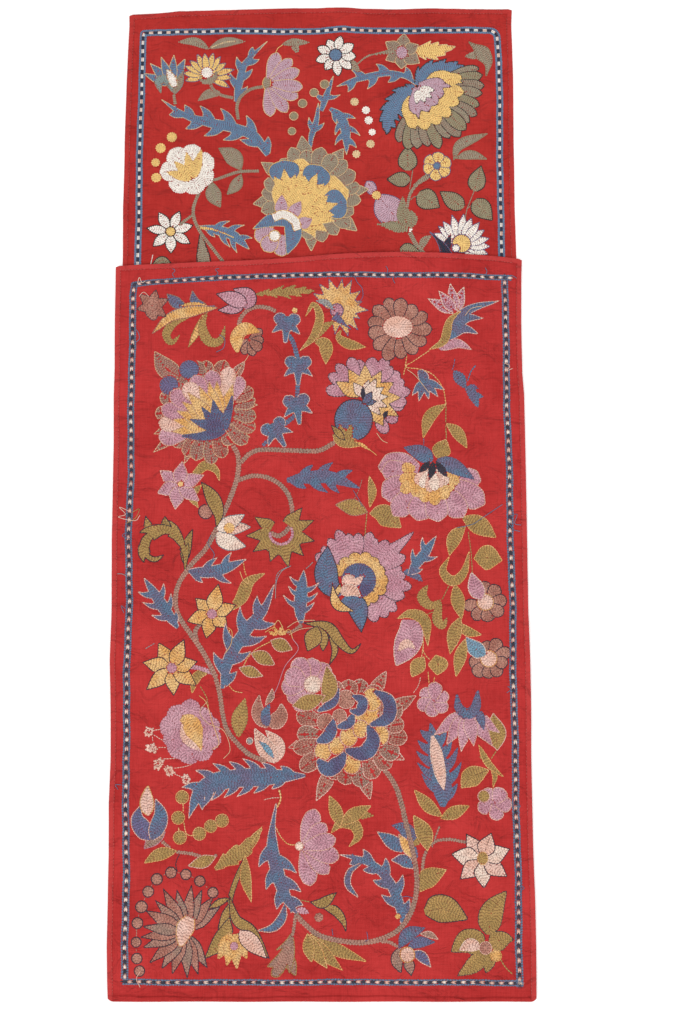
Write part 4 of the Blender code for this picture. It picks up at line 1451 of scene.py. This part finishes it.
def sewReverseNearRight():
    fan(123, -237, 8, 360, 6, 1, 18, 7.4, mauve, peach)
    laid(gold, 1.5, [117, -206, 118, -222], [124, -212, 122, -224])
    laid(peach, 1.2, [109, -212, 106, -222, 101, -229])
    # tulip between blue horns
    blade([148, -231, 150, -245, 159, -252, 168, -245, 171, -226], (0.8, 4.4, 5.4, 4.4, 0.6), blue, purple)
    leaf([168, -244, 173, -255, 177, -269], 4.4, blue, purple)
    fan(160, -248, 180, 112, 6, 4, 43, 7.8, mauve, peach, pointedTip)
    # thistle of blue round a pale core
    blade([121, -275, 124, -288, 127, -304, 133, -333], (1, 5.6, 6.6, 5.4, 0.6), peach, white)
    thorned([132, -351, 131, -326, 126, -298, 119, -261], 11, 34, blue, purple, thorns=5, base=0.8,
        form=(0.25, 0.95, 1, 0.95, 0.8, 0.55, 0))
    # olive pods and twigs on the right
    leaf([191, -291, 190, -272, 187, -251], 10.5, olive, peach)
    leaves(olive, gold, [152, -331, 164, -319, 182, -312], 10.5, [131, -362, 116, -350, 101, -333], 6.6,
        [129, -364, 145, -357, 161, -350], 6.6, [22, -373, 17, -356, 10, -339], 6.8,
        [22, -371, 36, -360, 55, -350], 7)
    leaf([38, -364, 48, -360, 58, -361], 4, olive)
    leaves(olive, gold, [12, -379, 22, -369, 36, -370, 41, -382, 31, -394], 6.2,
        [115, -398, 112, -380, 100, -360], 8.6)
    leaf([99, -393, 106, -387, 113, -384], 3.6, olive)
    leaves(olive, gold, [104, -442, 114, -428, 135, -418], 10, [171, -285, 181, -305, 198, -320], 3.4,
        [181, -302, 188, -316, 186, -331], 2.8)
    laid(olive, 1.8, [190, -292, 185, -299, 181, -306])
    laid(olive, 1.6, [180, -312, 176, -303, 172, -298])
    disc(176, -340, 6.4, olive, peach)
    fan(188, -347, 30, 360, 5, 1, 18.5, 8, mauve, peach)
    # mauve flower on its side
    disc(-22, -393, 4.4, white, peach)
    fan(-17, -394, 92, 156, 6, 1, 38, 9.4, mauve, peach)
    # blue tulip with a gold core
    leaf([98, -404, 92, -392, 84, -380], 5.4, gold, peach, heartForm)
    leaf([94, -400, 78, -389, 61, -378], 7.4, blue, peach)
    leaf([97, -398, 92, -376, 77, -371], 8.6, blue, purple, heartForm)
    leaf([100, -417, 89, -408, 76, -408], 6.4, blue, peach)
    leaf([101, -420, 99, -400, 93, -380], 5.4, blue)
    # pale star
    disc(174, -406, 5.6, olive, gold, squeeze=1.2)
    fan(173, -407, 20, 360, 7, 4, 31, 9.6, [peach, white], black, pointedTip)
    stem([109, -423, 112, -403, 122, -389, 138, -386, 156, -389], 2.6, taupe)
    stem([128, -372, 120, -394], 2, taupe)
    leaf([112, -462, 131, -459, 158, -470], 14.5, olive, black, heartForm)
    # blue branch with its hook
    blade([43, -412, 32, -420, 30, -434, 41, -447], (1, 3, 3, 0.5), blue, peach)
    disc(83, -467, 3.2, gold)
    thorned([89, -474, 83, -450, 73, -429, 57, -413, 39, -406, 21, -402], 5.8, 22, blue, peach, thorns=4,
        form=(0.5, 0.95, 1, 0.9, 0.75, 0.5, 0))


def sewReverseNearEdge():
    # round dots on a thread, over a half daisy
    chain = [-191, -524, -194, -511, -195, -494, -194, -474, -190, -457, -183, -441, -174, -428, -159, -421,
        -143, -423, -128, -430, -114, -442]
    dots(chain, 5.9, brown, black)
    laid(brown, 1.3, chain)
    laid(black, 1.3, [-150, -401, -154, -411, -152, -420], [-112, -446, -106, -449])
    blade([-138, -468, -144, -482, -148, -498], (5, 9.5, 7, 2), peach, gold)
    fan(-143, -483, -80, 272, 17, 5, 47, 6.6, [taupe, brown], black, pointedTip, uneven=0.05)
    # olive leaves along a taupe stem
    leaf([-153, -398, -172, -402, -188, -411], 6.4, olive, gold)
    leaf([-111, -404, -126, -410, -141, -414], 6.4, olive, peach)
    leaf([-80, -403, -79, -428, -73, -452], 5.6, olive, gold)
    blade([-112, -417, -96, -406, -79, -395, -62, -374], (2, 10, 7.5, 1), olive, gold, teeth=(4, 0.35, 0.5))
    stem([-169, -388, -156, -398, -138, -401, -126, -404, -110, -403], 3.2, taupe)
    # tulip of gold and pink in olive sepals
    disc(-91, -498, 5, mauve, gold)
    leaf([-85, -483, -73, -494, -56, -511], 8.8, peach, black, heartForm)
    fan(-91, -482, 182, 54, 4, 4, 36, 7, gold, gold, pointedTip)
    leaves(olive, black, [-96, -468, -103, -490, -122, -511], 9, [-96, -446, -89, -470, -72, -483, -53,
        -512], 5.6, [-97, -454, -101, -468, -108, -481], 4.4, [-96, -448, -106, -452, -119, -459], 3.6)
    stem([-80, -408, -89, -428, -95, -448, -95, -470], 5, olive, black)
    # long blue leaf, and what hangs from its end
    thorned([-47, -348, -51, -376, -50, -400, -44, -425, -36, -447, -22, -468], 7.6, 28, blue, peach,
        thorns=3, first=0.4, last=0.86, base=0.66, form=(0.1, 0.35, 0.8, 1, 1, 0.7, 0))
    leaf([-37, -452, -40, -468, -50, -479, -67, -482], 4.8, blue, peach)
    stem([-26, -465, -27, -476, -29, -487], 2.8, taupe)
    jagged([-29, -485, -33, -500, -40, -515, -51, -529], 13, taupe, olive, teeth=2, depth=0.55, lean=0.9)
    leaf([-34, -503, -31, -516, -25, -529], 6, taupe, olive)
    for tip, half in (((-8, -515), 6), ((8, -521), 7), ((24, -523), 7), ((50, -514), 6.6), ((34, -503), 6)):
        leaf([(-13, -485), ((tip[0] - 13) / 2 - 1, (tip[1] - 485) / 2 - 2), tip], half, olive, gold)
    leaves(olive, black, [-10, -452, 3, -453, 18, -442], 5.4, [-2, -454, 16, -461, 25, -472, 28, -483], 4.8)
    leaf([-26, -460, -18, -461, -11, -464], 3.6, mauve)
    laid(olive, 1.8, [-31, -446, -20, -450, -8, -452])
    disc(-1, -468, 5, brown)
    # blue and pink tulip
    disc(93, -507, 8, peach, gold)
    leaf([84, -500, 94, -486, 112, -479], 6.8, blue, purple)
    leaf([93, -500, 106, -494, 122, -494], 5.6, purple, blue)
    leaf([96, -505, 107, -508, 118, -520], 5.4, purple, peach)
    leaf([107, -485, 117, -486, 126, -491], 3.2, taupe, peach)
    leaves(taupe, black, [84, -499, 82, -513, 86, -526], 6.4, [91, -508, 95, -518, 97, -529], 5.6)
    stem([60, -493, 74, -494, 86, -501], 3.2, taupe)
    # olive flower by the corner
    disc(187, -508, 6, gold, gold)
    disc(176, -500, 6.6, brown, peach)
    leaf([172, -500, 160, -497, 148, -502], 6.6, peach, white)
    joined([(points, scaled(heartForm, half)) for points, half in (([180, -486, 183, -463, 199, -440],
        12.5), ([175, -500, 158, -493, 139, -504], 13), ([176, -502, 165, -516, 146, -529], 8.6),
        ([180, -497, 195, -491, 206, -491], 10), ([178, -502, 179, -516, 176, -526], 7.4))], olive, black)
    laid(olive, 2, [192, -512, 197, -520, 204, -527])


def leaveReverseEnds():
    # ends of thread left long at the back, and floats carried from one motif to the next
    tail(steel, [-164, 236, -166, 240, -163, 244, -166, 246], [-118, 237, -115, 241, -118, 245, -114, 246],
        [74, 241, 75, 245, 73, 249], [80, 238, 81, 233, 83, 229], [184, 238, 186, 243, 184, 247],
        [206, 235, 213, 238, 219, 235], [-207, 160, -202, 165, -203, 172, -206, 176],
        [-212, -52, -217, -57, -209, -60], [-213, -137, -217, -134, -214, -142],
        [208, -35, 216, -33, 213, -43, 220, -45], [206, -42, 212, -50, 219, -52],
        [203, -222, 207, -225, 202, -229], [209, -352, 215, -350, 211, -357],
        [212, -435, 218, -437, 213, -441], [150, -48, 167, -44, 179, -36, 200, -22])
    tail(white, [-205, 229, -203, 236, -200, 230, -196, 232])
    tail(purple, [38, 237, 41, 230, 46, 224, 47, 214, 42, 207, 38, 210], [50, -483, 51, -491, 48, -493],
        [13, -480, 14, -487], [86, -447, 93, -446, 99, -448])
    tail(peach, [-211, -29, -221, -25, -214, -33, -222, -36, -204, -40, -198, -34],
        [204, 137, 210, 134, 207, 129, 213, 131], [-190, -524, -194, -532, -190, -541],
        [-203, 214, -198, 219, -192, 214])
    tail(olive, [-207, -31, -199, -27, -203, -37, -213, -43])
    tail(teal, [-212, -101, -217, -99, -222, -99], [-49, -126, -48, -108, -42, -96, -32, -90])
    tail(blue, [-217, -333, -220, -328, -214, -328], [-116, 150, -108, 155, -107, 165, -113, 170],
        [-122, -90, -116, -78, -123, -66, -120, -56], [36, -6, 42, -16, 46, -24])
    tail(cream, [-97, 118, -90, 131, -82, 143, -80, 147], [-122, -238, -130, -250, -121, -262, -104, -270,
        -97, -290, -104, -300], [-34, -166, -22, -160, -8, -158], [-36, -158, -24, -151, -6, -150],
        [62, 58, 68, 50, 74, 47], [161, 192, 168, 200, 180, 203], [120, 104, 106, 122, 96, 130])
    tail(gold, [-131, -232, -123, -240, -116, -262, -109, -283, -116, -290],
        [-100, -158, -96, -163, -97, -176, -103, -186], [-60, -163, -50, -158, -44, -166, -34, -160, -30,
        -170], [-52, -160, -46, -150, -41, -158, -38, -166], [-88, -96, -84, -106, -78, -110, -80, -102],
        [48, 42, 56, 38, 62, 33])
    tail(mauve, [-30, -170, -24, -182, -38, -200, -46, -222, -51, -232])


def sewReverse():
    needle["layer"] = "reverse"
    sewReverseBorder()
    leaveReverseEnds()
    sewReverseFarLeft()
    sewReverseFarRight()
    sewReverseCrown()
    sewReverseMauve()
    sewReversePalmette()
    sewReverseLeftMiddle()
    sewReverseRightMiddle()
    sewReverseNearLeft()
    sewReverseHeart()
    sewReverseNearRight()
    sewReverseNearEdge()


def stitchMesh(thread, layer, material):
    # every stitch is its shape laid from one end to the other, and set on the cloth's own height
    points, faces, shades = [], [], []
    total = 0
    lift = cloth["thickness"] / 2 + 0.05  # just clear of the cloth
    for shape, form in stitchShapes.items():
        rows = sewn.get((thread, layer, shape))
        if not rows:
            continue
        s = np.concatenate(rows)
        form = {k: np.array(v, float) for k, v in form.items()}
        u, v, h = form["points"].T
        run = s[:, 2:4] - s[:, 0:2]
        long = np.maximum(np.hypot(*run.T), 1e-6)[:, None]
        side = np.stack([-run[:, 1], run[:, 0]], 1) / long
        x = s[:, 0:1] + run[:, 0:1] * u + side[:, 0:1] * v * s[:, 4:5]
        y = s[:, 1:2] + run[:, 1:2] * u + side[:, 1:2] * v * s[:, 4:5]
        z = layerHeight(layer, x, y) + lift + h * s[:, 5:6]
        points.append(np.stack([x, y, z], -1).reshape(-1, 3))
        f = form["faces"].astype(int)
        faces.append((f[None] + (np.arange(len(s)) * len(u))[:, None, None] + total).reshape(-1, 3))
        shades.append(np.repeat(s[:, 6], len(u)))
        total += len(s) * len(u)
    if not points:
        return None
    name = f"{thread}Silk{'Face' if layer == 'face' else 'Reverse'}"
    return makeMesh(name, np.concatenate(points), [np.concatenate(faces)], material,
                    {"shade": np.concatenate(shades)})


def tailMesh(name, thread, layer, material):
    # loose ends as thin closed tubes of four sides, lying on the stitches
    radius = 0.36
    lift = cloth["thickness"] / 2 + 0.55  # on top of the rows of stitches
    points, faces, total = [], [], 0
    for t, l, path in tails:
        if t != thread or l != layer:
            continue
        line = smoothPath(path, 1.2)
        n = len(line)
        tangent = np.gradient(line, axis=0)
        tangent /= np.maximum(np.hypot(*tangent.T)[:, None], 1e-9)
        side = np.stack([-tangent[:, 1], tangent[:, 0]], 1)
        height = layerHeight(layer, line[:, 0], line[:, 1]) + lift
        corners = [np.column_stack([line + side * du * radius, height + dz * radius])
                   for du, dz in ((-1, 0), (0, 1), (1, 0), (0, -1))]
        i = np.arange(n * 4).reshape(n, 4)
        j = np.roll(i, -1, axis=1)
        quads = np.stack([i[:-1], j[:-1], j[1:], i[1:]], -1).reshape(-1, 4)
        caps = np.array([[0, 3, 2, 1], [4 * n - 4, 4 * n - 3, 4 * n - 2, 4 * n - 1]])
        points.append(np.stack(corners, 1).reshape(-1, 3))
        faces.append(np.concatenate([quads, caps]) + total)
        total += n * 4
    if not points:
        return None
    return makeMesh(name, np.concatenate(points), [np.concatenate(faces)], material,
                    {"shade": np.full(total, 0.5)})


bpy.context.scene.view_settings.view_transform = "Standard"
silk = {"face": {"dark": 0.8, "light": 1.18, "roughness": 0.5, "patch": 40.0},
        "reverse": {"dark": 0.76, "light": 1.2, "roughness": 0.55, "patch": 62.0}}
# the hem colour is a painted highlight on the turned hems, and the crease colour is painted shade in the
# creases
cottonSettings = {"dark": "A02524", "light": "BE3736", "hem": "C04442", "faceTint": "F5F0E1",
                  "reverseTint": "FFFFFF", "creaseShadeTint": "D4BCBC", "weave": 0.0011, "pucker": 0.015}

sewFace()
print("face sewn")
sewReverse()
sewHems()
print("reverse sewn")

clothPiece = makeCloth(cottonMaterial(cottonSettings))
pieces = []
triangles = 0
for layerIndex, layer in enumerate(("face", "reverse")):
    for thread, codes in threads.items():
        hasTails = any(t == thread and l == layer for t, l, _ in tails)
        if not hasTails and not any((thread, layer, shape) in sewn for shape in stitchShapes):
            continue
        second = codes[2] if layer == "reverse" else codes[0]
        material = silkMaterial(f"{thread} {layer}", codes[layerIndex], second, silk[layer])
        piece = stitchMesh(thread, layer, material)
        if piece:
            pieces.append(piece)
            triangles += len(piece.data.polygons)
            print(piece.name, len(piece.data.polygons))
        if hasTails:
            pieces.append(tailMesh(f"{thread}LooseEnds{layer.capitalize()}", thread, layer, material))
print("stitch triangles", triangles)

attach(clothPiece, "root")
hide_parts("folded_cloth")
for piece in pieces:
    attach(piece, "root")

stage = {"size": 8.0, "height": -0.0004, "dark": "F4F4F2", "light": "F8F8F7", "glow": 0.22, "sky": 0.76}
floorMaterial, floorTree, floorShader = newMaterial("matt white paper", {
    "Roughness": 0.95, "Emission Color": (1.0, 1.0, 1.0, 1.0), "Emission Strength": stage["glow"]})
grain = addNode(floorTree, "TexNoise", "Fac", {"Scale": 30.0, "Detail": 3.0})
paper, output = addNode(floorTree, "ValToRGB", 0, {"Fac": grain}, {0.0: stage["dark"], 1.0: stage["light"]})
floorTree.links.new(paper.outputs[output], floorShader.inputs["Base Color"])
bpy.ops.mesh.primitive_plane_add(size=stage["size"], location=(0, 0, stage["height"]))
floor = bpy.context.object
floor.name = "paperFloor"
floor.data.materials.append(floorMaterial)

world = bpy.data.worlds.new("studio")
bpy.context.scene.world = world
world.use_nodes = True
background = world.node_tree.nodes["Background"]
background.inputs["Color"].default_value = (1.0, 1.0, 1.0, 1.0)
background.inputs["Strength"].default_value = stage["sky"]

# both point at the middle of the cloth. Columns: name, place in metres, size, power in watts
for name, place, size, power in (("keyLight", (-1.8, -4.0, 4.4), 3.4, 172.0),
                                 ("fillLight", (1.5, 1.2, 2.2), 1.8, 17.0)):
    light = bpy.data.lights.new(name, "AREA")
    light.shape = "SQUARE"
    light.size = size
    light.energy = power
    lamp = bpy.data.objects.new(name, light)
    bpy.context.scene.collection.objects.link(lamp)
    lamp.location = place
    lamp.rotation_euler = (math.atan2(math.hypot(*place[:2]), place[2]), 0,
                           math.atan2(place[1], place[0]) + math.pi / 2)

cameraSettings = {"target": (0.0215, -0.0275), "distance": 2.4, "elevation": 80.2, "lens": 77.0}
cameraData = bpy.data.cameras.new("camera")
cameraData.lens = cameraSettings["lens"]
cameraData.sensor_width = 36.0
cameraData.clip_start = 0.05
camera = bpy.data.objects.new("camera", cameraData)
bpy.context.scene.collection.objects.link(camera)
slope = math.radians(cameraSettings["elevation"])
targetX, targetY = cameraSettings["target"]
camera.location = (targetX, targetY - cameraSettings["distance"] * math.cos(slope),
                   cameraSettings["distance"] * math.sin(slope))
camera.rotation_euler = (math.pi / 2 - slope, 0, 0)
bpy.context.scene.camera = camera
